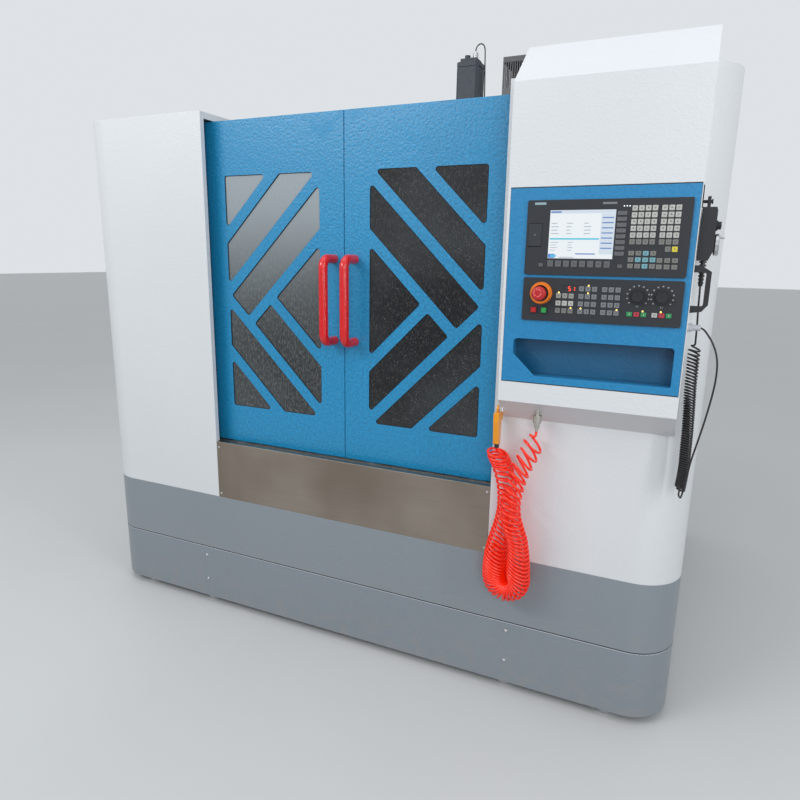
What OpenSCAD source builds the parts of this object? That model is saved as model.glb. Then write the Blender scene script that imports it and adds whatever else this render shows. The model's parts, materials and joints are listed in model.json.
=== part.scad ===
// Vertical machining centre in a sheet-metal enclosure, with two pierced sliding doors,
// a control box on the right and a column-type machine inside.
// X runs to the operator's right, Y to the back and Z up. The floor is at Z = 0.

/* [Enclosure] */
// Width over the two covers
machine_w = 2350; // [2300:10:2500]
// Depth of the covers behind the front
cover_len = 1360; // [1330:10:1400]
// Depth of the skirts behind the front
skirt_len = 1720; // [1700:10:1800]
// Radius of the upright front corners
corner_r = 140; // [110:5:170]
// Thickness of the sheet
sheet = 3; // [2:0.5:4]
// Height of the levelling feet
foot_h = 30; // [25:5:60]
// Height of the lower skirt
lower_h = 230; // [200:5:260]
// Height of the upper skirt
upper_h = 236; // [210:5:260]
// Height of the covers
cover_h = 1464; // [1440:4:1500]
// Left half of the door opening
open_l = 555; // [530:5:580]
// Right half of the door opening
open_r = 578; // [560:2:600]
// Depth of the return along the opening
return_d = 20; // [12:1:24]
// Height of the lip above the doors
lip_h = 24; // [18:1:30]
// Height of the stainless sill
sill_h = 235; // [220:5:245]
// Width of the folded flanges
flange_w = 25; // [18:1:30]

/* [Doors] */
// Depth of the door face behind the front of the covers
door_y = 60; // [50:1:70]
// Depth of the door tray
door_d = 25; // [20:1:28]
// Gap between the sill and the foot of the doors
door_gap = 3; // [2:1:8]
// Overlap of each door behind its cover
door_lap = 32; // [26:1:40]
// Side stile between the door edge and the windows
stile_in = 97; // [92:1:108]
// Width of the window field
field_w = 408; // [390:2:410]
// Height of the window field
field_h = 869; // [840:1:900]
// Height of the window field above the foot of the door
field_z = 146; // [130:1:160]
// Width of the bars between the windows, measured upright
bar_w = 54; // [46:1:66]
// Corner radius of the windows
window_r = 9; // [6:1:16]
// Thickness of the window panes
pane_t = 5; // [4:1:8]
// Opening travel of each door
door_travel = 485; // [450:5:485]
// Diameter of the handle tube
handle_d = 32; // [26:1:34]
// Length of the handle between its legs
handle_len = 286; // [250:2:320]
// Reach of the handle in front of the door
handle_reach = 75; // [60:1:80]
// Distance of the handle from the meeting edge
handle_x = 41; // [36:1:46]
// Height of the handle above the foot of the door
handle_up = 580; // [560:5:600]

/* [Control box] */
// Distance of the control box from the right side of the machine
box_side = 67; // [60:1:80]
// Width of the control box
box_w = 496; // [480:2:500]
// Reach of the control box in front of the covers
box_d = 91; // [85:1:100]
// Height of the lower front edge
box_z = 1046; // [1030:1:1060]
// Drop of the slanted underside
box_drop = 72; // [60:1:80]
// Height of the fold below the slanted hood
hood_z = 1928; // [1920:1:1940]
// Height of the hood
hood_top = 2052; // [2040:1:2070]
// Depth at which the slant of the hood ends
hood_y = 56; // [40:1:70]
// Depth at which the hood ends
hood_end = 180; // [160:5:200]
// Lower edge of the blue fascia above the lower front edge
fascia_z = 60; // [55:1:70]
// Height of the blue fascia
fascia_h = 548; // [540:1:560]
// White rim beside the fascia
rim = 7; // [5:1:10]
// Width of the two control panels
panel_w = 420; // [416:1:424]
// Height of the display unit
unit_h = 200; // [196:1:204]
// Height of the operator panel
desk_h = 120; // [116:1:124]
// Reach of the panels in front of the fascia
panel_t = 6; // [5:1:8]
// Gap between the two panels
panel_gap = 8; // [6:1:10]
// Depth of the document pocket
pocket_d = 70; // [50:5:74]
// Width of the screen
screen_w = 172; // [168:1:176]
// Height of the screen
screen_h = 128; // [124:1:132]
// Diameter of the emergency stop
estop_d = 40; // [36:1:42]
// Diameter of the dials
dial_d = 40; // [36:1:44]

/* [Machine] */
// Depth of the spindle axis
spindle_y = 810; // [800:5:830]
// Front face of the column
column_y = 1320; // [1310:5:1330]
// Height of the bed
bed_z = 560; // [550:2:570]
// Height of the slideways
way_h = 30; // [26:1:34]
// Half the distance between the slideways
way_x = 180; // [174:1:190]
// Width of the slideways
way_w = 60; // [50:1:64]
// Running clearance of the slideways
way_gap = 0.3; // [0.2:0.05:0.5]
// Length of the table
table_l = 900; // [860:10:920]
// Width of the table
table_w = 400; // [380:5:420]
// Height of the table top
table_z = 880; // [874:1:890]
// Number of slots in the table
slots = 3; // [3:1:5]
// Travel of the table along X
x_travel = 600; // [500:20:600]
// Travel of the saddle along Y
y_travel = 400; // [300:20:400]
// Height of the spindle nose at rest
nose_z = 1400; // [1396:1:1420]
// Diameter of the spindle shaft
spindle_d = 70; // [60:1:76]
// Diameter of the ball screws
screw_d = 32; // [28:1:34]
// Side of the axis motors
servo_w = 110; // [100:2:112]
// Side of the motor on the column
lift_servo_w = 114; // [106:1:130]
// Number of places in the tool carousel
tool_places = 12; // [8:2:16]
// Diameter of the tool carousel
carousel_d = 540; // [500:10:560]
// Width of the head
head_w = 300; // [290:2:310]
// Side of the belt motor of the spindle
motor_w = 190; // [180:2:200]
// Length of the belt motor of the spindle
motor_h = 240; // [220:5:300]
// Width of the column
column_w = 520; // [500:5:540]
// Depth of the column
column_d = 370; // [350:5:380]

/* [Pendant and air line] */
// Height of the pendant body
pendant_h = 132; // [120:2:140]
// Width of the pendant body
pendant_w = 80; // [74:1:86]
// Thickness of the pendant body
pendant_t = 36; // [32:1:38]
// Diameter of the hand wheel
wheel_d = 56; // [50:1:62]
// Diameter of the curly part of the pendant cable
curl_d = 32; // [28:1:34]
// Diameter of the pendant cable
cable_d = 5; // [4:0.5:6]
// Diameter of the curly air hose
hose_d = 68; // [60:1:70]

/* [Hidden] */
$fn = 48;
e = 1; // overshoot of cutting solids

// Levels
z_low = foot_h;
z_seam = z_low + lower_h;
z_deck = z_seam + upper_h;
z_top = z_deck + cover_h;
z_sill = z_deck + sill_h;
hw = machine_w / 2;

// Doors
split = 1.5;
bend_r = 30;
door_z = z_sill - door_gap;
door_top = z_top - lip_h - 3;
door_h = door_top - door_z;
door_w_l = open_l + door_lap;
door_w_r = open_r + door_lap;
win_z = door_z + field_z;
handle_z = door_z + handle_up;
rail_y = door_y + door_d + 7;
beam_y = rail_y + 6;
beam_t = 18;
guard_y = beam_y + beam_t;
beam_z = door_top - 53;
tongue_t = 6;

// Window outlines of one door: u runs from the inner edge of the field outwards, v up.
// The bars lie at 45 degrees, so each slanted edge is a line u + v = c or v - u = k.
slot_w = 151;
c5 = field_h + 220;
c4 = c5 - bar_w;
c3 = c4 - slot_w;
c2 = c3 - bar_w;
c1 = c2 - slot_w;
c0 = c1 - bar_w;
k0 = 243;
k1 = k0 - bar_w;
k2 = k1 - slot_w;
k3 = k2 - bar_w;
k4 = k3 - slot_w;
k5 = k4 - bar_w;
windows = [
    [[c5 - field_h, field_h], [field_w, field_h], [field_w, c5 - field_w]],
    [[c3 - field_h, field_h], [c4 - field_h, field_h], [field_w, c4 - field_w], [field_w, c3 - field_w]],
    [[0, c1], [0, c2], [(c2 - k2) / 2, (c2 + k2) / 2], [(c1 - k2) / 2, (c1 + k2) / 2]],
    [[0, k0], [0, c0], [(c0 - k0) / 2, (c0 + k0) / 2]],
    [[field_w, field_w + k4], [field_w, field_w + k3], [-k3, 0], [-k4, 0]],
    [[0, k2], [0, k1], [(c0 - k1) / 2, (c0 + k1) / 2], [(c0 - k2) / 2, (c0 + k2) / 2]],
    [[field_w, 0], [field_w, field_w + k5], [-k5, 0]]
];

// Control box
box_r = hw - box_side;
box_x = box_r - box_w;
fz0 = box_z + fascia_z;
fz1 = fz0 + fascia_h;
face_y = -box_d;
unit_x = box_x + 59;
unit_z = fz1 - 35 - unit_h;
desk_z = unit_z - panel_gap - desk_h;
panel_y = face_y - panel_t;
desk_r = unit_x + panel_w;
dial_x1 = unit_x + 309;
dial_x2 = unit_x + 369;
dial_z = desk_z + 78;
estop_x = unit_x + 52;
estop_z = desk_z + 77;
estop_h = 40;
button_z = desk_z + 30;
button_x1 = unit_x + 34;
button_x2 = unit_x + 63;
button_w = 14;
hole_gap = 0.3;
screen_x = unit_x + 63;
screen_z = unit_z + 45;
port_z0 = unit_z + 77;
port_w = 37;
port_h = 61;
pocket_x0 = unit_x - 21;
pocket_x1 = desk_r - 7;
pocket_z0 = fz0 + 23;
pocket_z1 = fz0 + 130;

// Machine
rest_z = bed_z + way_h + way_gap;
saddle_z = table_z - 120;
saddle_len = 460;
saddle_w = 520;
x_nut_l = 120;
x_channel = x_travel / 2 + x_nut_l / 2 + 5;
wing = x_channel + 15;
x_axis_z = table_z - 185;
y_axis_z = bed_z - 20;
z_axis_y = column_y + 20;
column_top = z_top + 80;
core_h = 330;
head_top = nose_z + 560;
head_front = 110;
head_mid = 120;
head_foot = nose_z + 100;
slide_top = head_top - 60;
belt_t = 25;
belt_cover_h = 75;
shoulder_z = nose_z + 300;
head_back = column_y - way_h - way_gap;
guard_back = cover_len - 30;
nut_gap = 0.3;
wall_x = 800;
mag_x = -480;
mag_z = nose_z - 65;
mag_travel = 250;
hub_d = 140;
beam_low = nose_z + 70;
cab_x0 = 300;
cab_x1 = hw - 25;
cab_y0 = cover_len + 20;
cab_y1 = skirt_len - 20;
cab_d = cab_y1 - cab_y0;
cab_z1 = z_top + 30;
cab_door_t = 22;
rear_y = cab_y1 + cab_door_t + 26;

z_way_x = 150;
z_way_w = 80;
guide_x = z_way_x + z_way_w / 2 + way_gap;
motor_y = spindle_y + 260;
bed_w = 330;
bed_top_w = bed_w - 70;
bed_taper = 130;
bed_y0 = 150;
bed_y1 = skirt_len - 30;
way_y0 = 350;
switch_z = z_deck + 860;
hinge_x = cab_x1 + 7;
hinge_y = cab_y1 + 11;
hinge_zs = [z_deck + 150, cab_z1 - 220];

// Places of the feet: under the skirt and under the bed
foot_places = concat(
    [for (s = [-1, 1]) for (x = [hw - 185, hw - 525]) for (y = [60, skirt_len - 60]) [s * x, y]],
    [for (s = [-1, 1]) for (y = [bed_y0 + 80, (bed_y0 + bed_y1) / 2, bed_y1 - 130]) [s * (bed_w - 80), y]]
);

// Side outline of the control box, in Y and Z, anticlockwise
box_outline = [[0, z_top], [hood_end, z_top], [hood_end, hood_top], [hood_y, hood_top], [face_y, hood_z],
    [face_y, box_z], [0, box_z - box_drop]];

// Pendant
pend_x = box_r + 3;
pend_y0 = -75;
pend_yc = pend_y0 + pendant_w / 2;
pend_z0 = box_z + 418;
pend_z1 = pend_z0 + pendant_h;
pend_face = pend_x + pendant_t;
wheel_z = pend_z0 + 40;
knob_z = pend_z0 + 88;
eye_z = pend_z1 + 16;
gland_z = box_z + 244;
grip_z0 = box_z + 284;
grip_z1 = box_z + 406;
coupler_x = box_x + 114;
coupler_y = -50;
gun_x = box_x - 9;
gun_y = -46;
peg_z = box_z - 36;
trig_y = gun_y + 8;
trig_z = peg_z - 54;

// The model's own origin is the middle of its footprint
y_mid = (panel_y - estop_h + rear_y) / 2;

// Route points of the hanging lines, counted from one side of the control box and from its
// lower front edge
function hang(p, x) = [for (q = p) q + [x, 0, box_z]];
cable_pts = hang([[19, -36, 352], [20, -36, 324], [21, -34, 290], [23, -32, 250], [24, -30, 207]], box_r);
coil_pts = hang([[24, -30, 207], [24, -30, 150], [25, -30, 86], [28, -30, 26], [31, -30, -46],
    [32, -30, -100], [33, -30, -146], [31, -30, -182], [26, -30, -222]], box_r);
back_pts = hang([[26, -30, -222], [26, -35, -234], [30, -45, -236], [34, -54, -222], [38, -58, -196],
    [47, -58, -128], [56, -58, -78], [66, -58, -24], [74, -58, 26], [80, -58, 72], [83, -58, 112],
    [82, -58, 150], [76, -57, 180], [65, -55, 206], [52, -52, 226], [41, -50, 239], [32, -50, 244]], box_r);
hose_pts = hang([[114, -50, -94], [109, -53, -126], [96, -62, -170], [80, -78, -212], [69, -96, -258],
    [62, -106, -308], [64, -106, -356], [73, -97, -400], [83, -82, -446], [89, -70, -496], [90, -63, -550],
    [89, -60, -596], [76, -58, -622], [48, -56, -634], [19, -54, -622], [6, -50, -594], [6, -46, -540],
    [13, -39, -480], [24, -37, -424], [33, -37, -370], [33, -37, -318], [25, -37, -266], [10, -38, -220],
    [-3, -43, -188], [-8, -46, -163]], box_x);

// Moves the machine's own frame to the middle of the footprint
module placed() { translate([0, -y_mid, 0]) children(); }

// Box between two corners
module block(a, b) { translate(a) cube(b - a); }

// Cylinder along X, Y or Z from a point
module rod_x(p, d, l) { translate(p) rotate([0, 90, 0]) cylinder(d = d, h = l); }
module rod_y(p, d, l) { translate(p) rotate([-90, 0, 0]) cylinder(d = d, h = l); }
module rod_z(p, d, l) { translate(p) cylinder(d = d, h = l); }

// Outline given in Y and Z, drawn along X from x0 to x1
module along_x(x0, x1) {
    translate([x0, 0, 0]) rotate([90, 0, 90]) linear_extrude(x1 - x0) children();
}
// Outline given in X and Z, drawn along Y from y0 to y1
module along_y(y0, y1) {
    translate([0, y1, 0]) rotate([90, 0, 0]) linear_extrude(y1 - y0) children();
}
// Outline given in X and Y, drawn along Z from z0 to z1
module along_z(z0, z1) { translate([0, 0, z0]) linear_extrude(z1 - z0) children(); }

// Unit vector along v
function unit(v) = v / norm(v);
// Polygon with every corner rounded by radius r, or by its own radius where r is a list, n chords to an arc
function rounded(p, r, n = 4) = [
    for (i = [0 : len(p) - 1])
        let (
            a = unit(p[(i + len(p) - 1) % len(p)] - p[i]),
            b = unit(p[(i + 1) % len(p)] - p[i]),
            q = is_list(r) ? r[i] : r,
            half = acos(max(-1, min(1, a * b))) / 2,
            c = p[i] + unit(a + b) * (q / sin(half)),
            s = p[i] + a * (q / tan(half)) - c,
            t = p[i] + b * (q / tan(half)) - c,
            a0 = atan2(s[1], s[0]),
            d0 = atan2(t[1], t[0]) - a0,
            d = d0 > 180 ? d0 - 360 : d0 < -180 ? d0 + 360 : d0
        )
        for (k = [0 : n]) c + q * [cos(a0 + d * k / n), sin(a0 + d * k / n)]
];

// Point on a smooth curve through points p at parameter t
function spline(p, t) =
    let (
        n = len(p) - 1,
        i = min(floor(t), n - 1),
        f = t - i,
        a = p[max(i - 1, 0)],
        b = p[i],
        c = p[i + 1],
        d = p[min(i + 2, n)]
    )
    (2 * b + (c - a) * f + (2 * a - 5 * b + 4 * c - d) * f * f + (3 * b - a - 3 * c + d) * f * f * f) / 2;

// Round tube of diameter d through points p, with "per" rings between two points.
// Its end faces lie square to the directions "first" and "last"
module tube(p, d, sides, per, first = [0, 0, -1], last = [0, 0, -1]) {
    steps = (len(p) - 1) * per;
    mid = [for (k = [0 : steps]) spline(p, k / per)];
    dir = [for (k = [0 : steps])
        k == 0 ? first : k == steps ? last : unit(mid[k + 1] - mid[k - 1])];
    ring = [for (k = [0 : steps])
        let (u = unit(cross(dir[k], [0, 1, 0])), v = cross(dir[k], u))
        for (j = [0 : sides - 1]) mid[k] + (u * cos(360 * j / sides) + v * sin(360 * j / sides)) * d / 2];
    polyhedron(
        ring,
        concat(
            [[for (j = [0 : sides - 1]) j]],
            [for (k = [0 : steps - 1]) for (j = [0 : sides - 1])
                let (a = k * sides + j, b = k * sides + (j + 1) % sides)
                each [[a, a + sides, b + sides], [a, b + sides, b]]],
            [[for (j = [sides - 1 : -1 : 0]) steps * sides + j]]
        )
    );
}

// Footprint of the enclosure, drawn in by "inset", to depth y1, with round front corners
module footprint(inset, y1) {
    r = corner_r - inset;
    x = hw - inset;
    translate([-x + r, inset]) square([2 * (x - r), y1 - inset]);
    translate([-x, inset + r]) square([2 * x, y1 - inset - r]);
    for (s = [-1, 1]) translate([s * (x - r), inset + r]) circle(r, $fn = 96);
}

// Upright wall of the enclosure, open at the back unless it is closed
module wall_2d(y1, t) {
    difference() {
        footprint(0, y1);
        footprint(t, y1 - t);
    }
}

module levelling_feet() {
    color("dimgray")
    for (p = foot_places) translate([p[0], p[1], 0]) {
        cylinder(d = 70, h = foot_h * 0.4);
        cylinder(d = 20, h = foot_h);
        translate([0, 0, foot_h * 0.4]) cylinder(d = 34, h = foot_h * 0.3, $fn = 6);
    }
}

module lower_skirt() {
    color([0.56, 0.59, 0.62])
    union() {
        along_z(z_low, z_seam) wall_2d(skirt_len, sheet);
        along_z(z_seam - sheet, z_seam) wall_2d(skirt_len, flange_w);
        along_z(z_low, z_low + sheet) difference() {
            wall_2d(skirt_len, 130);
            translate([-cab_x0 - 40, bed_y0 - 10]) square([2 * cab_x0 + 80, skirt_len - bed_y0 - 10]);
        }
    }
}

module upper_skirt() {
    color([0.6, 0.63, 0.66])
    difference() {
        union() {
            along_z(z_seam, z_deck) wall_2d(skirt_len, sheet);
            along_z(z_seam, z_seam + sheet) wall_2d(skirt_len, flange_w);
            along_z(z_deck - sheet, z_deck) wall_2d(skirt_len, flange_w);
            // Deck behind the covers that carries the electrical cabinet
            block([-hw + sheet, cover_len, z_deck - sheet], [hw - sheet, skirt_len - sheet, z_deck]);
        }
        block([-cab_x0, cover_len - e, z_deck - sheet - e], [cab_x0, skirt_len - flange_w, z_deck + e]);
    }
}

// Half of the enclosure above the skirts. side is -1 for the left and 1 for the right
module cover(side, open) {
    keep = hw - open;
    module half() {
        intersection() {
            children();
            translate([side > 0 ? open : -hw, -e]) square([keep, cover_len + 2 * e]);
        }
    }
    edge = side * open;
    difference() {
        union() {
            along_z(z_deck, z_top) half() difference() {
                footprint(0, cover_len);
                footprint(sheet, cover_len - sheet);
                square([2 * (wall_x + way_gap), 3 * cover_len], center = true);
            }
            along_z(z_deck, z_top) half() intersection() {
                square([2 * hw, 2 * sheet], center = true);
                footprint(0, cover_len);
            }
            // Return beside the doors
            block([min(edge, edge + side * sheet), 0, z_deck], [max(edge, edge + side * sheet), return_d, z_top]);
            // Roof over the door pocket and over the gap beside the working space
            along_z(z_top - sheet, z_top) half() difference() {
                footprint(0, cover_len);
                translate([-wall_x + sheet, guard_y + 100]) square([2 * (wall_x - sheet), cover_len]);
            }
            // Lip over the door
            block([min(edge, edge + side * sheet), 0, z_top - lip_h],
                [max(edge, edge + side * sheet), guard_y + 100, z_top]);
        }
        children();
    }
}

module left_cover() { color([0.9, 0.91, 0.91]) cover(-1, open_l); }
module right_cover() { color([0.9, 0.91, 0.91]) cover(1, open_r); }

module splash_guard() {
    w = sheet;
    top = z_top - sheet;
    color([0.7, 0.72, 0.73])
    difference() {
        union() {
            // Side, rear and front walls of the working space
            along_z(z_deck, top) for (s = [-1, 1]) {
                translate([s > 0 ? wall_x - w : -wall_x, guard_y]) square([w, guard_back + w - guard_y]);
                translate([s > 0 ? column_w / 2 + way_gap : -wall_x, guard_back])
                    square([wall_x - column_w / 2 - way_gap, w]);
            }
            along_z(z_deck, top) {
                translate([-wall_x, guard_y]) square([wall_x - open_l - door_lap, w]);
                translate([open_r + door_lap, guard_y]) square([wall_x - open_r - door_lap, w]);
            }
            // Chip floor on the deck flanges
            along_z(z_deck, z_deck + w) difference() {
                footprint(sheet + 2, cover_len - sheet - 2);
                translate([-cab_x0, bed_y0 - 2]) square([2 * cab_x0, cover_len]);
                square([2 * (open_r + 100), 2 * (door_y - 20)], center = true);
            }
        }
        // Cut-out of the rear wall round the bed
        along_y(guard_back - e, guard_back + w + e) bed_2d(2);
    }
}

module sill_panel() {
    x0 = -open_l;
    x1 = open_r;
    color([0.62, 0.6, 0.56])
    union() {
        block([x0, 0, z_deck], [x1, sheet, z_sill]);
        block([x0, 0, z_sill - sheet], [x1, return_d, z_sill]);
        block([x0, return_d - sheet, z_sill - 14], [x1, return_d, z_sill]);
        block([x0, 0, z_deck], [x1, flange_w, z_deck + sheet]);
    }
}

// Upper beam with its guide rail, and the lower grooved rail on its web
module door_rails() {
    l = hw - 60;
    stop_l = split + door_w_l - 70 + door_travel + 2;
    stop_r = split + door_w_r - 70 + door_travel + 2;
    color([0.45, 0.47, 0.5]) {
        union() {
            block([-l, beam_y, beam_z], [l, beam_y + beam_t, beam_z + 46]);
            block([-l, rail_y, beam_z + 16], [l, beam_y + e, beam_z + 30]);
            // Stops of the hangers
            block([-stop_l - 14, rail_y - 4, beam_z + 8], [-stop_l, beam_y + e, beam_z + 38]);
            block([stop_r, rail_y - 4, beam_z + 8], [stop_r + 14, beam_y + e, beam_z + 38]);
        }
        difference() {
            union() {
                block([-l, door_y + 2, door_z - 38], [l, door_y + door_d + 3, door_z - 6]);
                block([-l, door_y + door_d - 1, z_deck + sheet], [l, door_y + door_d + 3, door_z - 6]);
            }
            block([-l - e, door_y + 10 - way_gap, door_z - 30],
                [l + e, door_y + 10 + tongue_t + way_gap, door_z]);
        }
    }
}

// Door as seen from the front, meeting edge at u = 0 and "w" wide
module door_shell(w) {
    difference() {
        union() {
            block([0, door_y, door_z], [w, door_y + sheet, door_top]);
            difference() {
                block([0, door_y, door_z], [w, door_y + door_d, door_top]);
                block([sheet, door_y - e, door_z + sheet], [w - sheet, door_y + door_d + e, door_top - sheet]);
            }
            // Hangers on the guide rail
            for (u = [70, w - 130]) difference() {
                block([u, door_y + door_d, beam_z + 6], [u + 60, beam_y - way_gap, beam_z + 40]);
                block([u - e, rail_y - way_gap, beam_z + 16 - way_gap],
                    [u + 60 + e, beam_y + e, beam_z + 30 + way_gap]);
            }
            for (u = [70, w - 130]) block([u, door_y + sheet, beam_z + 6],
                [u + 60, door_y + door_d, beam_z + 40]);
            // Tongues in the lower rail
            for (u = [70, w - 130]) block([u, door_y + 10, door_z - 26],
                [u + 60, door_y + 10 + tongue_t, door_z + sheet]);
        }
        along_y(door_y - e, door_y + sheet + e) for (p = windows)
            translate([stile_in, win_z]) polygon(rounded(p, window_r));
        for (v = [-1, 1]) rod_y([handle_x, door_y - e, handle_z + v * handle_len / 2], 10, sheet + 2 * e);
    }
}
module left_door() { color([0.2, 0.55, 0.75]) mirror([1, 0, 0]) translate([split, 0, 0]) door_shell(door_w_l); }
module right_door() { color([0.2, 0.55, 0.75]) translate([split, 0, 0]) door_shell(door_w_r); }

// Pane behind the windows of one door
module pane() {
    block([stile_in - 25, door_y + sheet, win_z - 25],
        [stile_in + field_w + 25, door_y + sheet + pane_t, win_z + field_h + 25]);
}
module left_window() { color([0.3, 0.32, 0.33, 0.5]) mirror([1, 0, 0]) pane(); }
module right_window() { color([0.3, 0.32, 0.33, 0.5]) pane(); }

// Bent tube handle, with a quarter bend and a leg at each end
module pull_handle() {
    translate([handle_x, door_y - handle_reach, handle_z]) for (s = [0, 1]) mirror([0, 0, s]) {
        cylinder(d = handle_d, h = handle_len / 2 - bend_r);
        translate([0, bend_r, handle_len / 2 - bend_r]) {
            rotate([90, 0, -90]) rotate_extrude(angle = 90) translate([bend_r, 0]) circle(d = handle_d);
            translate([0, 0, bend_r]) rotate([-90, 0, 0]) cylinder(d = handle_d, h = handle_reach - bend_r);
        }
    }
}
module left_door_handle() { color("crimson") mirror([1, 0, 0]) pull_handle(); }
module right_door_handle() { color("crimson") pull_handle(); }

// Cross-section of the bed in X and Z, grown by g
module bed_2d(g) {
    polygon([[-bed_w - g, foot_h], [bed_w + g, foot_h], [bed_w + g, bed_z - bed_taper + g], [bed_top_w + g, bed_z + g],
        [-bed_top_w - g, bed_z + g], [-bed_w - g, bed_z - bed_taper + g]]);
}

// Cast bed with ribbed sides, a screw channel and two slideways
module bed() {
    w = bed_w;
    color([0.75, 0.77, 0.76])
    difference() {
        union() {
            along_y(bed_y0, bed_y1) bed_2d(0);
            for (s = [-1, 1]) block([s * way_x - way_w / 2, way_y0, bed_z],
                [s * way_x + way_w / 2, column_y - way_h, bed_z + way_h]);
        }
        // Ribbed sides
        for (s = [-1, 1]) for (i = [0 : 4])
            block([s * w - 45, bed_y0 + 50 + i * 290, foot_h + 50],
                [s * w + 45, bed_y0 + 290 + i * 290, bed_z - bed_taper - 10]);
        // Channel of the screw, its bearings and the seat of the motor
        block([-62, way_y0 + 40, y_axis_z - 80], [62, column_y - way_h - 40, bed_z + e]);
        block([-72, bed_y0 - e, y_axis_z - 75], [72, way_y0, bed_z + e]);
        rod_y([0, way_y0 - e, y_axis_z], screw_d + 2 * nut_gap, column_y - way_h - way_y0 - 10);
    }
}
// Cast column with a leaning back, slideways in front and the channel of the lifting screw
module column() {
    color([0.78, 0.8, 0.79])
    difference() {
        union() {
            along_x(-column_w / 2, column_w / 2) polygon([[column_y, bed_z], [column_y + column_d, bed_z],
                [column_y + column_d, bed_z + 420], [column_y + column_d - 90, column_top], [column_y, column_top]]);
            for (s = [-1, 1]) block([s * z_way_x - z_way_w / 2, column_y - way_h, bed_z + 400],
                [s * z_way_x + z_way_w / 2, column_y + e, column_top - 20]);
        }
        block([-70, column_y - way_h - e, bed_z + 140], [70, column_y + 80, column_top - 40]);
        rod_z([0, z_axis_y, bed_z + 100], screw_d + 2 * nut_gap, column_top);
        // Core windows in the sides
        for (s = [-1, 1]) for (i = [0 : 2]) translate([0, 0, bed_z + 120 + i * (column_top - bed_z - 590) / 2])
            block([s * column_w / 2 - 60, column_y + 110, 0],
                [s * column_w / 2 + 60, column_y + column_d - 120, core_h]);
    }
}
// Cross slide: it rides on the bed and carries the ways of the table
module saddle() {
    y0 = spindle_y - saddle_len / 2;
    y1 = spindle_y + saddle_len / 2;
    lip = way_x + way_w / 2 + way_gap;
    color([0.72, 0.75, 0.74])
    difference() {
        union() {
            block([-saddle_w / 2, y0, rest_z], [saddle_w / 2, y1, rest_z + 80]);
            for (s = [-1, 1]) block([min(s * lip, s * saddle_w / 2), y0, bed_z + 3],
                [max(s * lip, s * saddle_w / 2), y1, rest_z + e]);
            along_y(spindle_y - 150, spindle_y + 150) polygon([[-saddle_w / 2, rest_z], [saddle_w / 2, rest_z],
                [wing, saddle_z - 130], [wing, saddle_z], [-wing, saddle_z], [-wing, saddle_z - 130]]);
            block([-45, spindle_y - 45, y_axis_z - 32], [45, spindle_y + 45, rest_z + e]);
        }
        block([-x_channel, spindle_y - 42, x_axis_z - 27], [x_channel, spindle_y + 42, saddle_z + e]);
        rod_x([-wing + 10, spindle_y, x_axis_z], screw_d + 2 * nut_gap, 2 * wing);
        rod_y([0, spindle_y - 50, y_axis_z], screw_d + 2 * nut_gap, 100);
    }
}

// Outline of one table slot in Y and Z, open to the top
module slot_2d() {
    translate([-9, -22]) square([18, 22 + e]);
    translate([-15, -32]) square([30, 12]);
}

// Table with its slots, guides beside the ways and the nut of the screw
module table() {
    y0 = spindle_y - table_w / 2;
    y1 = spindle_y + table_w / 2;
    guide = 150 + way_gap;
    color([0.66, 0.68, 0.69])
    difference() {
        union() {
            block([-table_l / 2, y0, saddle_z + way_gap], [table_l / 2, y1, table_z]);
            for (s = [-1, 1]) block([-table_l / 2, spindle_y + min(s * guide, s * (guide + 38)), saddle_z - 26],
                [table_l / 2, spindle_y + max(s * guide, s * (guide + 38)), saddle_z + e]);
            block([-x_nut_l / 2, spindle_y - 36, x_axis_z - 21], [x_nut_l / 2, spindle_y + 36, saddle_z + e]);
        }
        along_x(-table_l / 2 - e, table_l / 2 + e) for (i = [0 : slots - 1])
            translate([spindle_y + (i - (slots - 1) / 2) * (table_w - 130) / max(slots - 1, 1), table_z]) slot_2d();
        rod_x([-x_nut_l / 2 - 10, spindle_y, x_axis_z], screw_d + 2 * nut_gap, x_nut_l + 20);
        // Coolant gutter round the edge
        difference() {
            block([-table_l / 2 + 10, y0 + 10, table_z - 6], [table_l / 2 - 10, y1 - 10, table_z + e]);
            block([-table_l / 2 + 26, y0 + 26, table_z - 7], [table_l / 2 - 26, y1 - 26, table_z + 2 * e]);
        }
    }
}

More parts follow.
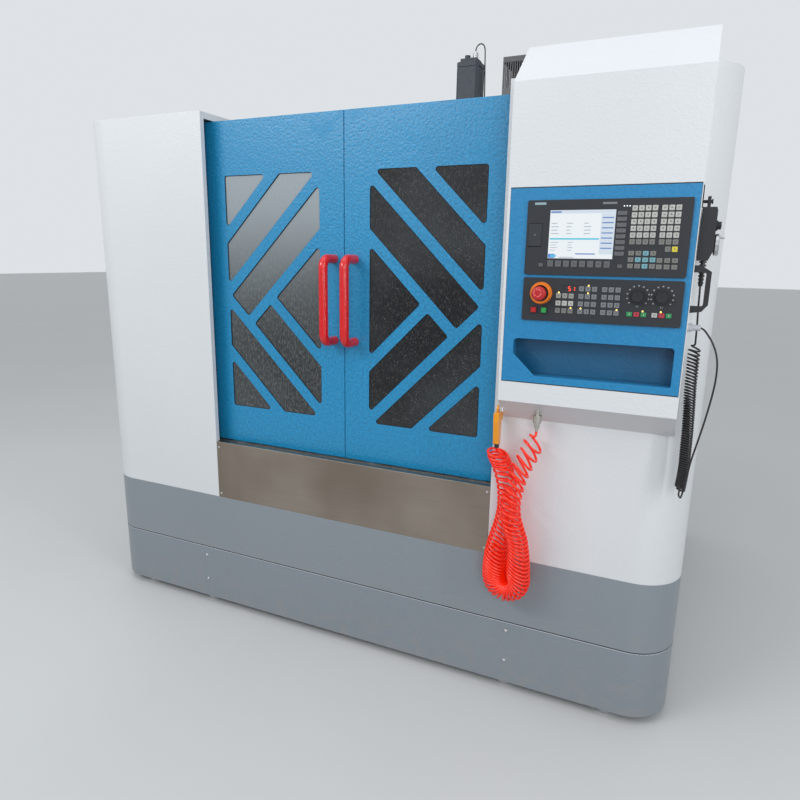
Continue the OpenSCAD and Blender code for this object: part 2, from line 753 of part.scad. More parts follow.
// Head casting: nose, front body, pocket of the belt motor, belt cover and slide plate
module headstock() {
    y0 = spindle_y - head_front;
    yr = head_back;
    yp = spindle_y + head_mid;
    z0 = head_foot;
    zb = head_top + belt_t;
    color([0.8, 0.82, 0.81])
    difference() {
        union() {
            along_x(-head_w / 2, head_w / 2) polygon([[y0, z0], [y0, head_top], [yp, head_top],
                [yp, z0 + 100], [yr - 76, z0 + 100], [yr - 72, head_top], [yr - 30, head_top],
                [yr - 30, slide_top], [yr, slide_top], [yr, z0 - 40], [yr - 90, z0 - 40], [yr - 200, z0]]);
            // Slide plate with guides hooked round the ways
            block([-guide_x - 26, yr - 60, z0 - 40], [guide_x + 26, yr, slide_top]);
            for (s = [-1, 1]) block([min(s * guide_x, s * (guide_x + 26)), yr - e, z0 - 40],
                [max(s * guide_x, s * (guide_x + 26)), column_y - 4, slide_top]);
            // Nose
            rod_z([0, spindle_y, nose_z + 25], 180, 80);
            rod_z([0, spindle_y, nose_z + 60], 230, 50);
            // Belt plate and belt cover
            block([-head_w / 2, y0, head_top - e], [head_w / 2, yr - 30, zb]);
            rod_z([0, spindle_y, zb - e], motor_w, belt_cover_h + e);
            rod_z([0, motor_y, zb - e], motor_w, belt_cover_h + e);
            block([-motor_w / 2 + 7, spindle_y, zb - e], [motor_w / 2 - 7, motor_y, zb + belt_cover_h]);
            // Nut of the lifting screw
            block([-50, yr - e, nose_z + 200], [50, column_y + 50, nose_z + 300]);
        }
        rod_z([0, spindle_y, nose_z + 20], spindle_d + 2 * nut_gap, head_top - nose_z - 60);
        rod_z([0, z_axis_y, nose_z + 190], screw_d + 2 * nut_gap, 120);
    }
}
// Spindle: nose flange, shaft, steep taper and draw-bar bore
module spindle() {
    l = head_top - nose_z - 70;
    color("silver")
    translate([0, spindle_y, nose_z]) {
        difference() {
            union() {
                cylinder(d = 98, h = 20);
                cylinder(d = spindle_d, h = l);
            }
            translate([0, 0, -e]) cylinder(r1 = 22.5, r2 = 12.5, h = 68);
            cylinder(d = 17, h = l + e);
        }
        for (s = [-1, 1]) translate([s * 38 - 8, -8, -7]) cube([16, 16, 8]);
    }
}

// Belt motor of the spindle, hung under the belt plate
module spindle_motor() {
    h = motor_h;
    w = motor_w / 2;
    color([0.25, 0.27, 0.3])
    translate([0, motor_y, head_top - e - h]) {
        difference() {
            translate([-w, -w, 0]) cube([2 * w, 2 * w, h]);
            for (i = [0 : 8]) for (s = [-1, 1]) {
                translate([(i - 4) * w * 0.21 - 5, s * w - 8, 20]) cube([10, 16, h - 60]);
                translate([s * w - 8, (i - 4) * w * 0.21 - 5, 20]) cube([16, 10, h - 60]);
            }
        }
        translate([0, 0, -28]) cylinder(d = 1.58 * w, h = 29);
    }
}

module x_ball_screw() {
    color("silver") rod_x([-wing + 12, spindle_y, x_axis_z], screw_d, 2 * wing + 14);
}
module y_ball_screw() {
    color("silver") rod_y([0, way_y0 - 26, y_axis_z], screw_d, column_y - way_h - way_y0 + 10);
}
module z_ball_screw() {
    color("silver") rod_z([0, z_axis_y, bed_z + 102], screw_d, column_top - bed_z - 52);
}

// Axis motor along Z: coupling housing, body with bevelled edges, encoder cap and two plugs
module servo(w, len) {
    c = w * 0.12;
    h = 0.36 * len;
    difference() {
        translate([-w / 2, -w / 2, 0]) cube([w, w, h]);
        translate([0, 0, -e]) cylinder(d = screw_d + 18, h = h * 0.7);
    }
    translate([0, 0, h]) difference() {
        linear_extrude(len - h) polygon([for (a = [0 : 3]) each [
            [cos(90 * a) * w / 2 - sin(90 * a) * (w / 2 - c), sin(90 * a) * w / 2 + cos(90 * a) * (w / 2 - c)],
            [cos(90 * a) * (w / 2 - c) - sin(90 * a) * w / 2, sin(90 * a) * (w / 2 - c) + cos(90 * a) * w / 2]]]);
        for (z = [18, len - h - 26]) translate([0, 0, z]) difference() {
            translate([-w, -w, 0]) cube([2 * w, 2 * w, 5]);
            translate([-w / 2 + 3, -w / 2 + 3, -e]) cube([w - 6, w - 6, 7]);
        }
    }
    translate([-w * 0.36, -w * 0.36, len]) cube([w * 0.72, w * 0.72, 18]);
    translate([-w * 0.16, 0, len + 18]) cylinder(d = w * 0.24, h = 22);
    translate([w * 0.2, 0, len + 18]) cylinder(d = w * 0.2, h = 28);
}

// Motors of the saddle, in the bed, and of the head, on the column
module axis_servos() {
    color([0.3, 0.33, 0.37]) {
        translate([0, way_y0, y_axis_z]) rotate([90, 0, 0]) servo(servo_w, 150);
        translate([0, z_axis_y, column_top]) servo(lift_servo_w, 358);
    }
}
module x_servo() {
    color([0.3, 0.33, 0.37]) translate([wing, spindle_y, x_axis_z]) rotate([0, 90, 0]) servo(servo_w, 180);
}

// Arm bolted to the column, with the cross beam on which the tool magazine slides
module magazine_bracket() {
    z1 = beam_low + 80;
    color([0.78, 0.8, 0.79])
    union() {
        block([-column_w / 2, column_y - 18, beam_low - 40], [-guide_x - 32, column_y, z1 + 110]);
        block([-column_w / 2, spindle_y - 40, z1 - e], [-guide_x - 32, column_y - 10, z1 + 70]);
        block([mag_x - 140, spindle_y - 40, beam_low], [-head_w / 2 - 14, spindle_y + 40, z1]);
    }
}

// Slide of the magazine, wrapped round the cross beam, with the motor of the carousel
module magazine_carriage() {
    z1 = beam_low + 80;
    g = way_gap;
    color([0.35, 0.38, 0.42])
    translate([mag_x, spindle_y, 0]) {
        difference() {
            union() {
                block([-68, -56, beam_low - 50], [68, 56, beam_low - g]);
                for (s = [-1, 1]) block([-68, s * 48 - 8 + s * g, beam_low - 50], [68, s * 48 + 8 + s * g, z1 - 10]);
            }
            rod_z([0, 0, beam_low - 50 - e], 30 + 2 * nut_gap, 40);
        }
    }
}

// Carousel with notched tool places and two spring fingers at each
module tool_carousel() {
    r = carousel_d / 2;
    color([0.6, 0.62, 0.64])
    translate([mag_x, spindle_y, mag_z]) {
        difference() {
            cylinder(r = r - 34, h = 26, $fn = 96);
            for (i = [0 : tool_places - 1]) rotate([0, 0, i * 360 / tool_places])
                translate([r - 20, 0, -e]) cylinder(d = 66, h = 30);
            for (i = [0 : 5]) rotate([0, 0, i * 60 + 30]) translate([r * 0.48, 0, -e]) cylinder(d = 64, h = 30);
        }
        for (i = [0 : tool_places - 1]) rotate([0, 0, (i + 0.5) * 360 / tool_places])
            for (s = [-1, 1]) translate([r - 66, s * 17 - 5, 6]) cube([66, 10, 14]);
        cylinder(d = hub_d, h = beam_low - 52 - mag_z);
        cylinder(d = 30, h = beam_low - mag_z - 18);
    }
}

// Electrical cabinet behind the right cover, open to the back under its door
module electrical_cabinet() {
    color([0.86, 0.87, 0.87])
    difference() {
        block([cab_x0, cab_y0, z_deck], [cab_x1, cab_y1, cab_z1]);
        block([cab_x0 + sheet, cab_y0 + sheet, z_deck + sheet], [cab_x1 - sheet, cab_y1 + e, cab_z1 - sheet]);
        for (i = [0 : 9]) block([cab_x0 - e, cab_y0 + 0.19 * cab_d, cab_z1 - 300 + i * 22],
            [cab_x0 + sheet + e, cab_y0 + 0.69 * cab_d, cab_z1 - 290 + i * 22]);
    }
    // Lower halves of the lift-off hinges, with their pins
    color([0.6, 0.6, 0.6]) for (z = hinge_zs) {
        block([cab_x1 - e, cab_y1 - 40, z], [hinge_x - 1, cab_y1, z + 30]);
        block([cab_x1 + 0.5, cab_y1 - e, z], [hinge_x - 1, hinge_y, z + 30]);
        rod_z([hinge_x, hinge_y, z], 12, 30);
        rod_z([hinge_x, hinge_y, z + 29], 6, 30);
    }
}

// Cabinet door: a tray hinged at the outer edge, with the two hinge knuckles
module cabinet_door() {
    y0 = cab_y1 + 1;
    color([0.88, 0.89, 0.89])
    difference() {
        union() {
            block([cab_x0, y0 + cab_door_t - sheet, z_deck + 6], [cab_x1, y0 + cab_door_t - 1, cab_z1]);
            difference() {
                block([cab_x0, y0, z_deck + 6], [cab_x1, y0 + cab_door_t - 1, cab_z1]);
                block([cab_x0 + sheet, y0 - e, z_deck + 6 + sheet], [cab_x1 - sheet, y0 + cab_door_t + e, cab_z1 - sheet]);
            }
        }
        rod_y([cab_x0 + 110, y0 - e, switch_z], 16 + 2 * nut_gap, cab_door_t + 2 * e);
    }
    // Upper halves of the hinges
    color([0.6, 0.6, 0.6]) for (z = hinge_zs) difference() {
        union() {
            block([cab_x1 - e, hinge_y - 5, z + 31], [hinge_x, hinge_y + 5, z + 61]);
            rod_z([hinge_x, hinge_y, z + 31], 12, 30);
        }
        rod_z([hinge_x, hinge_y, z + 30], 6 + 2 * hole_gap, 32);
    }
}
// Rotary main switch: round base, pointed grip and shaft
module main_switch() {
    y0 = cab_y1 + cab_door_t + 0.3;
    color("red")
    translate([cab_x0 + 110, y0, switch_z]) {
        rotate([-90, 0, 0]) cylinder(d = 62, h = 9);
        block([-8, 8, -27], [8, 25.7, 27]);
        translate([0, -30, 0]) rotate([-90, 0, 0]) cylinder(d = 16, h = 31);
    }
}

// Dark box with a louvred head on the column, beside the lifting motor
module resistor_box() {
    x0 = lift_servo_w / 2 + 107;
    h = 374;
    color([0.16, 0.17, 0.18])
    translate([x0, column_y + 20, column_top]) difference() {
        cube([112, 170, h]);
        translate([2, 2, -e]) cube([108, 166, h - 1]);
        for (i = [0 : 8]) {
            translate([8 + i * 11, -e, h - 140]) cube([5, 8, 115]);
            translate([-e, 12 + i * 17, h - 140]) cube([8, 9, 115]);
        }
    }
}

// Outline drawn in by t along each edge
function inset(p, t) = [
    for (i = [0 : len(p) - 1])
        let (
            a = unit(p[i] - p[(i + len(p) - 1) % len(p)]),
            b = unit(p[(i + 1) % len(p)] - p[i]),
            m = [-a[1], a[0]],
            n = [-b[1], b[0]]
        )
        p[i] + (m + n) * (t / (1 + m * n))
];

// Folded box: slanted underside, slanted hood, frame for the fascia and a peg for the air gun
module control_box() {
    x1 = box_r;
    color([0.92, 0.93, 0.93])
    difference() {
        union() {
            difference() {
                along_x(box_x, x1) polygon(box_outline);
                along_x(box_x + sheet, x1 - sheet) polygon(inset(box_outline, sheet));
                block([box_x + 30, -sheet - e, box_z], [x1 - 30, e, z_top - 60]);
                block([box_x + rim, face_y - e, fz0], [x1 - 2, face_y + sheet + e, fz1]);
            }
            // Inner frame on which the fascia sits
            difference() {
                block([box_x + sheet, face_y + sheet, fz0 - 12], [x1 - sheet, face_y + 2 * sheet, fz1 + 12]);
                block([box_x + rim + 12, face_y, fz0 + 10], [x1 - 14, face_y + 10, fz1 - 10]);
            }
            // Peg plate under the slanted floor
            block([gun_x + 14, gun_y - 8, peg_z - 8], [gun_x + 17, gun_y + 8, peg_z + 40]);
            rod_x([gun_x - 6, gun_y, peg_z], 6, 21);
        }
        rod_z([coupler_x, coupler_y, box_z - box_drop - 20], 13 + 2 * way_gap, 90);
    }
}

// Blue front plate with the folded document pocket behind it
module control_fascia() {
    y1 = face_y + sheet;
    color([0.16, 0.5, 0.72])
    difference() {
        union() {
            block([box_x + rim + 1, face_y, fz0 + 2], [box_r - 3, y1, fz1 - 1]);
            difference() {
                block([pocket_x0 - 3, y1 - e, pocket_z0 - 3], [pocket_x1 + 3, face_y + pocket_d, pocket_z1 + 12]);
                block([pocket_x0 - 1, y1 - 2 * e, pocket_z0 - 1],
                    [pocket_x1 + 1, face_y + pocket_d - 2, pocket_z1 + 10]);
            }
        }
        along_y(face_y - e, y1 + e / 2) polygon(rounded([[pocket_x0, pocket_z0 + 63], [pocket_x0, pocket_z1],
            [pocket_x1, pocket_z1], [pocket_x1, pocket_z0], [pocket_x0 + 66, pocket_z0]], [6, 12, 10, 4, 6]));
        block([unit_x + 14, face_y - e, unit_z + 14], [desk_r - 14, y1 + e, unit_z + unit_h - 14]);
        block([unit_x + 14, face_y - e, desk_z + 14], [desk_r - 14, y1 + e, desk_z + desk_h - 14]);
    }
}

// Display unit: front plate with the screen recess and the case behind it
module display_unit() {
    color([0.2, 0.22, 0.25])
    difference() {
        union() {
            along_y(panel_y, face_y) polygon(rounded([[unit_x, unit_z], [unit_x, unit_z + unit_h],
                [desk_r, unit_z + unit_h], [desk_r, unit_z]], 5));
            block([unit_x + 15, face_y - e, unit_z + 15], [desk_r - 15, face_y + 50, unit_z + unit_h - 15]);
        }
        block([screen_x, panel_y - e, screen_z], [screen_x + screen_w, panel_y + 3, screen_z + screen_h]);
        block([unit_x + 6, panel_y - e, port_z0 - 2], [unit_x + 6 + port_w, panel_y + 3.4, port_z0 + port_h]);
    }
}
module screen() {
    color([0.6, 0.75, 0.85])
    block([screen_x + 0.2, panel_y + 0.8, screen_z + 0.2],
        [screen_x + screen_w - 0.2, panel_y + 3, screen_z + screen_h - 0.2]);
}

// Flap over the data ports, hinged along its lower edge on a moulded pin
module port_cover() {
    color([0.24, 0.26, 0.29])
    union() {
        block([unit_x + 6.4, panel_y + 0.2, port_z0 + 1], [unit_x + 5.6 + port_w, panel_y + 2.8, port_z0 + port_h - 0.5]);
        rod_x([unit_x + 6.4, panel_y + 1.6, port_z0 + 1.2], 2.8, port_w - 0.8);
    }
}

// Grid of raised keys: x, z of the lower left key, columns, rows, pitch and key size
module keys(x, z, nx, nz, px, pz, w, h) {
    for (i = [0 : nx - 1]) for (k = [0 : nz - 1])
        block([x + i * px, panel_y - 1.4, z + k * pz], [x + i * px + w, panel_y + 0.2, z + k * pz + h]);
}
module panel_keys() {
    color([0.75, 0.77, 0.78])
    difference() {
        union() {
            keys(unit_x + 274.3, unit_z + 83.3, 4, 6, 16.35, 17, 13.4, 13.4);
            keys(unit_x + 346.3, unit_z + 83.3, 3, 6, 16.5, 17, 13.4, 13.4);
            keys(unit_x + 362.8, unit_z + 65.3, 2, 1, 16.5, 17, 13.4, 13.4);
            keys(unit_x + 274.5, unit_z + 22, 4, 3, 18, 16.5, 14, 12);
            keys(unit_x + 345.5, unit_z + 21, 3, 2, 18.5, 16.5, 14, 12);
            keys(unit_x + 239, unit_z + 54, 1, 8, 15, 14.8, 24, 10.5);
            keys(unit_x + 64, unit_z + 22.2, 8, 1, 21.5, 15, 15.5, 17);
            keys(unit_x + 40, unit_z + 22, 1, 1, 15, 15, 11, 9);
            keys(unit_x + 250, unit_z + 22, 1, 1, 15, 15, 11, 9);
            keys(unit_x + 94, desk_z + 24, 3, 3, 17.3, 20.5, 13.6, 13.5);
            keys(unit_x + 155, desk_z + 24, 3, 4, 17.3, 20.5, 13.6, 13.5);
            keys(unit_x + 216, desk_z + 24, 3, 4, 17.3, 20.5, 13.6, 13.5);
            keys(unit_x + 284, desk_z + 24, 3, 1, 18, 20, 14, 12);
            keys(unit_x + 347, desk_z + 24, 3, 1, 17.5, 20, 14, 12);
        }
        block([unit_x, panel_y, desk_z], [desk_r, panel_y + 2, unit_z + unit_h]);
    }
}

// Operator panel: front plate with bores for the dials and buttons and a window for the readout
module operator_panel() {
    color([0.2, 0.22, 0.25])
    difference() {
        union() {
            along_y(panel_y, face_y) polygon(rounded([[unit_x, desk_z], [unit_x, desk_z + desk_h],
                [desk_r, desk_z + desk_h], [desk_r, desk_z]], 5));
            block([unit_x + 15, face_y - e, desk_z + 15], [desk_r - 15, face_y + 44, desk_z + desk_h - 15]);
            // Raised frames of the power buttons
            for (x = [button_x1, button_x2]) along_y(panel_y - 3, panel_y + e)
                translate([x, button_z]) square(button_w + 6, center = true);
        }
        rod_y([estop_x, panel_y - e, estop_z], 22 + 2 * hole_gap, 40);
        for (x = [dial_x1, dial_x2]) rod_y([x, panel_y - e, dial_z], 8 + 2 * hole_gap, 24);
        for (x = [button_x1, button_x2]) along_y(panel_y - 4, panel_y + 24)
            translate([x, button_z]) square(button_w + 2 * hole_gap, center = true);
        block([unit_x + 112, panel_y - e, desk_z + 84], [unit_x + 153, panel_y + 1.2, desk_z + 100]);
    }
}

// Raised ring round the emergency stop
module estop_guard() {
    color("orange")
    translate([estop_x, panel_y, estop_z]) rotate([90, 0, 0]) difference() {
        union() {
            cylinder(d = 62, h = 5);
            translate([0, 0, 5]) cylinder(d1 = 62, d2 = 56, h = 9);
        }
        translate([0, 0, -e]) cylinder(d = estop_d + 6, h = 20);
    }
}
module estop_button() {
    color("red")
    translate([estop_x, panel_y - estop_h, estop_z]) rotate([-90, 0, 0])
        rotate_extrude() polygon([[0, 0], [estop_d * 0.36, 0], [estop_d * 0.46, 2.5], [estop_d / 2, 7],
            [estop_d / 2, 11], [estop_d * 0.4, 14], [11, 20], [11, estop_h + 26], [0, estop_h + 26]]);
}

// Dial with a fluted edge and a raised pointer
module dial(x) {
    translate([x, panel_y - 0.3, dial_z]) rotate([90, 0, 0]) {
        difference() {
            union() {
                cylinder(d = dial_d, h = 6);
                cylinder(d = dial_d * 0.74, h = 19);
            }
            for (a = [0 : 20 : 340]) rotate([0, 0, a]) translate([dial_d * 0.39, 0, 8]) cylinder(d = 4, h = 12);
        }
        translate([-1.5, 0, 18]) cube([3, dial_d * 0.36, 2]);
        translate([0, 0, -20]) cylinder(d = 8, h = 21);
    }
}
module feed_dial() { color([0.1, 0.1, 0.11]) dial(dial_x1); }
module spindle_dial() { color([0.1, 0.1, 0.11]) dial(dial_x2); }

// Square lighted push button with bevelled edges
module power_button(x) {
    w = button_w / 2;
    translate([x, panel_y, button_z]) {
        along_y(-6, 17) square(2 * w, center = true);
        along_y(-7, -5) square(2 * w - 3, center = true);
    }
}
module power_on_button() { color("green") power_button(button_x2); }
module power_off_button() { color("red") power_button(button_x1); }

// Pendant case: bevelled foot, hanging eye, seat of the wheel and of the selector
module pendant_body() {
    xe = pend_x + 10;
    color([0.13, 0.14, 0.15])
    difference() {
        union() {
            along_y(pend_y0, pend_y0 + pendant_w) polygon([[pend_x, pend_z0], [pend_x, pend_z1],
                [pend_face - 3, pend_z1], [pend_face, pend_z1 - 8], [pend_face, pend_z0 + 24],
                [pend_face - 10, pend_z0]]);
            block([xe, pend_yc - 14, pend_z1 - e], [xe + 8, pend_yc + 14, eye_z + 12]);
        }
        rod_x([xe - e, pend_yc, eye_z], 8 + 2 * hole_gap, 12);
        rod_x([pend_face - 14, pend_yc, wheel_z], 10 + 2 * hole_gap, 20);
        rod_x([pend_face - 14, pend_yc, knob_z], 8 + 2 * hole_gap, 20);
    }
}
// Rimmed hand wheel with its crank grip
module pendant_wheel() {
    color("silver")
    translate([pend_face + hole_gap, pend_yc, wheel_z]) rotate([0, 90, 0]) {
        rotate_extrude() polygon([[0, 0], [wheel_d / 2 - 3, 0], [wheel_d / 2, 3], [wheel_d / 2, 9],
            [wheel_d / 2 - 3, 12], [wheel_d / 2 - 7, 12], [wheel_d / 2 - 10, 6], [12, 6], [10, 12], [0, 12]]);
        translate([0, 0, -12]) cylinder(d = 10, h = 13);
        translate([9 - wheel_d / 2, 0, 5]) cylinder(d = 8, h = 18);
    }
}
module pendant_knob() {
    color("black")
    translate([pend_face + hole_gap, pend_yc, knob_z]) rotate([0, 90, 0]) {
        cylinder(d = 26, h = 4);
        cylinder(d = 20, h = 12);
        translate([-2, 0, 11]) cube([4, 11, 2]);
        translate([0, 0, -12]) cylinder(d = 8, h = 13);
    }
}
// Plate and pin from which the pendant hangs
module pendant_bracket() {
    color("black")
    union() {
        block([box_r, pend_yc - 16, eye_z - 14], [box_r + 3, pend_yc + 16, eye_z + 40]);
        rod_x([box_r, pend_yc, eye_z], 8, 26);
        rod_x([box_r + 23, pend_yc, eye_z], 13, 3);
    }
}

// Bridge handle below the pendant
module side_handle() {
    z0 = grip_z0;
    z1 = grip_z1;
    color("black")
    along_y(pend_y0 - 5, pend_y0 + 16) difference() {
        polygon([[box_r, z0], [box_r, z1], [box_r + 16, z1], [box_r + 42, z1 - 16], [box_r + 42, z0 + 22],
            [box_r + 28, z0 + 4]]);
        polygon(rounded([[box_r - 20, z0 + 18], [box_r + 30, z0 + 18], [box_r + 30, z1 - 18],
            [box_r - 20, z1 - 18]], 5));
        translate([box_r - 40, z0]) square([40, z1 - z0]);
    }
}

// Ribbed strain relief under the pendant, and the threaded gland on the cabinet
module cable_glands() {
    p = cable_pts[0];
    q = back_pts[len(back_pts) - 1];
    color([0.2, 0.2, 0.2]) {
        rod_z(p, 11, pend_z0 - p[2]);
        for (i = [0 : 6]) rod_z([p[0], p[1], p[2] + 6 + i * 9], 14 + i * 0.6, 5);
        rod_x([box_r, q[1], gland_z], 24, 4);
        translate([box_r + 4, q[1], gland_z]) rotate([0, 90, 0]) cylinder(d = 22, h = 8, $fn = 6);
        rod_x([box_r + 12, q[1], gland_z], 16, q[0] - box_r - 12);
    }
}
module pendant_cable() { color("black") tube(cable_pts, cable_d, 8, 3); }
module pendant_coil() { color("black") tube(coil_pts, curl_d, 10, 2); }
module pendant_cable_return() { color("black") tube(back_pts, cable_d, 8, 3, last = [-1, 0, 0]); }

// Quick coupler below the slanted floor, seated on the slant by its nut
module air_coupler() {
    top = box_z - box_drop * (coupler_y - face_y) / box_d;
    low = hose_pts[0][2];
    color("silver")
    translate([coupler_x, coupler_y, 0]) difference() {
        union() {
            rod_z([0, 0, low], 9, 20);
            rod_z([0, 0, low + 8], 14, 20);
            translate([0, 0, low + 12]) cylinder(d = 17, h = 8, $fn = 6);
            rod_z([0, 0, low + 24], 22, 8);
            rod_z([0, 0, low + 30], 26, 20);
            rod_z([0, 0, low + 46], 13, top - low - 26);
        }
        translate([-coupler_x, -coupler_y, 0]) along_x(coupler_x - 7.5, coupler_x - 6.7) polygon(box_outline);
    }
}
module air_hose() { color("orangered") tube(hose_pts, hose_d, 12, 2, last = [0, 0, 1]); }

// Blow gun hung by its eye: handle, head, stub nozzle and hose socket
module air_gun() {
    q = hose_pts[len(hose_pts) - 1];
    color([0.93, 0.62, 0.05])
    difference() {
        union() {
            along_x(gun_x - 8, gun_x + 8.7) polygon(rounded([[gun_y - 12, q[2] + 12], [gun_y + 12, q[2] + 12],
                [gun_y + 14, trig_z + 10], [gun_y + 30, trig_z + 16], [gun_y + 30, trig_z + 38],
                [gun_y - 20, trig_z + 42], [gun_y - 22, trig_z + 15]], 3));
            along_x(gun_x - 2.5, gun_x + 2.5) difference() {
                union() {
                    translate([gun_y, peg_z - 2]) circle(d = 22);
                    translate([gun_y - 8, peg_z - 24]) square([16, 17]);
                }
                translate([gun_y, peg_z]) circle(d = 6 + 2 * hole_gap);
            }
            rod_y([gun_x, gun_y + 28, trig_z + 27], 9, 12);
            rod_z([q[0], q[1], q[2]], 15, 14);
        }
        block([gun_x - 3.2, gun_y - 2, trig_z - 40], [gun_x + 3.8, gun_y + 40, trig_z + 8]);
        rod_x([gun_x - 8, trig_y, trig_z], 3 + 2 * hole_gap, 16);
    }
}
// Trigger in the slot of the handle, on its cross pin
module air_gun_trigger() {
    color([0.1, 0.1, 0.1]) translate([0, trig_y, trig_z]) {
        along_x(gun_x - 2.6, gun_x + 3.2) union() {
            circle(d = 8);
            polygon([[1, 3.5], [1, -10], [9, -35], [13, -33], [12, -8], [9, 6]]);
        }
        rod_x([gun_x - 7.5, 0, 0], 3, 15);
    }
}

// Every node, placed on the middle of the footprint
placed() levelling_feet();
placed() lower_skirt();
placed() upper_skirt();
placed() left_cover();
placed() right_cover();
placed() splash_guard();
placed() sill_panel();
placed() door_rails();
placed() left_door();
placed() right_door();
placed() left_window();
placed() right_window();
placed() left_door_handle();
placed() right_door_handle();
placed() bed();
placed() column();
placed() saddle();
placed() table();
placed() headstock();
placed() spindle();
placed() spindle_motor();
placed() x_ball_screw();
placed() y_ball_screw();
placed() z_ball_screw();
placed() axis_servos();
placed() x_servo();
placed() magazine_bracket();
placed() magazine_carriage();
placed() tool_carousel();
placed() electrical_cabinet();
placed() cabinet_door();
placed() main_switch();
placed() resistor_box();
placed() control_box();
placed() control_fascia();
placed() display_unit();
placed() screen();
placed() panel_keys();
placed() port_cover();
placed() operator_panel();
placed() estop_guard();
placed() estop_button();
placed() feed_dial();
placed() spindle_dial();
placed() power_on_button();
placed() power_off_button();
placed() pendant_body();
placed() pendant_wheel();
placed() pendant_knob();
placed() pendant_bracket();
placed() side_handle();
placed() cable_glands();
placed() pendant_cable();
placed() pendant_coil();
placed() pendant_cable_return();
placed() air_coupler();
placed() air_hose();
placed() air_gun();
placed() air_gun_trigger();
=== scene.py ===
# %% [markdown]
# # A machining centre, dressed in Blender
# The machine's solids come from its CAD model: sheet covers, two sliding doors with a slanted
# window lattice, a control box, and the milling machine inside. This lesson adds what the
# solids leave out. That is paint with its grain, softened folds, screws, keys and lamps,
# the picture on the screen, and the two curly lines. Each step says what the piece is on
# the real machine, how it could be made, and why it is made this way here.

# %% Load the fixed frame
import json, math
from itertools import accumulate
import bmesh, bpy
from mathutils import Matrix, Vector


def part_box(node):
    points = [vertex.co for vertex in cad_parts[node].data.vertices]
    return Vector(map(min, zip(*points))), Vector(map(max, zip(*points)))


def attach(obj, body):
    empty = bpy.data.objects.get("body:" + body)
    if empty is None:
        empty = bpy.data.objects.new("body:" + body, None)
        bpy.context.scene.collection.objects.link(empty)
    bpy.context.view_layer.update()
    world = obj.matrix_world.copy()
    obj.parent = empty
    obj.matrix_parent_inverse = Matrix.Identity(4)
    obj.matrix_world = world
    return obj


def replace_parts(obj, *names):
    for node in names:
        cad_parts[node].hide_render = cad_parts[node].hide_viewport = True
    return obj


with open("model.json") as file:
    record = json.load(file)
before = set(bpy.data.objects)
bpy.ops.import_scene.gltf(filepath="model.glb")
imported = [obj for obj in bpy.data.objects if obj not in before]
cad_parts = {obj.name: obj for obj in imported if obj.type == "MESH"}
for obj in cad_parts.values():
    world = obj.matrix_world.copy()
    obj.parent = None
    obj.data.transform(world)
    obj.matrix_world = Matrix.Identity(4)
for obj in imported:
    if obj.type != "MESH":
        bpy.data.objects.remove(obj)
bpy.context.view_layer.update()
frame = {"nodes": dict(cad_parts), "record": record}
nodes = frame["nodes"]

# %% [markdown]
# ## Places
# The drawing of the machine counts from the front of its covers, in millimetres, while the
# scene counts from the middle of the footprint, in metres. One small function turns the
# first into the second, so that every number below reads as it would on the drawing.

# %% From drawing to scene
MIDDLE = 805.5

def at(x, y, z):
    "A place on the drawing, in metres from the middle of the footprint."
    return Vector((x, y - MIDDLE, z)) / 1000

def box_mm(node):
    "Lowest and highest corner of a node, back on the drawing."
    low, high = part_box(node)
    shift = Vector((0, MIDDLE, 0))
    return low * 1000 + shift, high * 1000 + shift

unit_low, desk_low = box_mm("display_unit")[0], box_mm("operator_panel")[0]
print("display unit from", [round(v) for v in unit_low])

# %% Pieces
def shown(name, data, finish=None):
    "A new object in the scene, with its own mesh, curve, light or camera."
    if finish:
        data.materials.append(finish.mat)
    made = bpy.data.objects.new(name, data)
    bpy.context.scene.collection.objects.link(made)
    return made

def claim(piece, body):
    """Says which body the piece rides on."""
    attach(piece, body)
    return piece

def built(name, build):
    "Mesh whose faces are made by a function, all turned outwards."
    mesh = bpy.data.meshes.new(name)
    form = bmesh.new()
    build(form)
    bmesh.ops.recalc_face_normals(form, faces=form.faces)
    form.to_mesh(mesh)
    form.free()
    return mesh

def skin(form, rings, ends=False):
    "Faces between rings of vertices that follow each other; a ring of one closes to a point."
    for a, b in zip(rings, rings[1:]):
        for k in range(max(len(a), len(b))):
            corners = [a[k % len(a)], a[(k + 1) % len(a)], b[(k + 1) % len(b)], b[k % len(b)]]
            form.faces.new(list(dict.fromkeys(corners)))
    if ends:
        form.faces.new(rings[-1])
        form.faces.new(rings[0][::-1])

def keep(piece):
    "Gives the piece the mesh that its modifiers make, without the modifiers."
    whole = bpy.context.evaluated_depsgraph_get()
    piece.data = bpy.data.meshes.new_from_object(piece.evaluated_get(whole))
    piece.modifiers.clear()
    return piece.data

def smooth(mesh, sharp_from=35):
    mesh.shade_smooth()
    mesh.set_sharp_from_angle(angle=math.radians(sharp_from))

def polar(radius, degrees):
    turn = math.radians(degrees)
    return radius * math.cos(turn), radius * math.sin(turn)

# %% [markdown]
# ## Camera
# The photographer stood to the right of the doors and held the camera at eye level, turned
# left and a little down. The camera's place and lens were solved from the machine's straight
# edges, so it is set from three turns and a place, and not by hand.

# %% Camera at the photograph's view
def look(yaw, pitch, roll):
    "Camera matrix from three turns, in degrees."
    y, p, r = (math.radians(v) for v in (yaw, pitch, roll))
    ahead = Vector((math.sin(y) * math.cos(p), math.cos(y) * math.cos(p), math.sin(p)))
    right = Vector((math.cos(y), -math.sin(y), 0))
    up = right.cross(ahead)
    right, up = right * math.cos(r) + up * math.sin(r), up * math.cos(r) - right * math.sin(r)
    return Matrix((right, up, -ahead)).transposed().to_4x4()

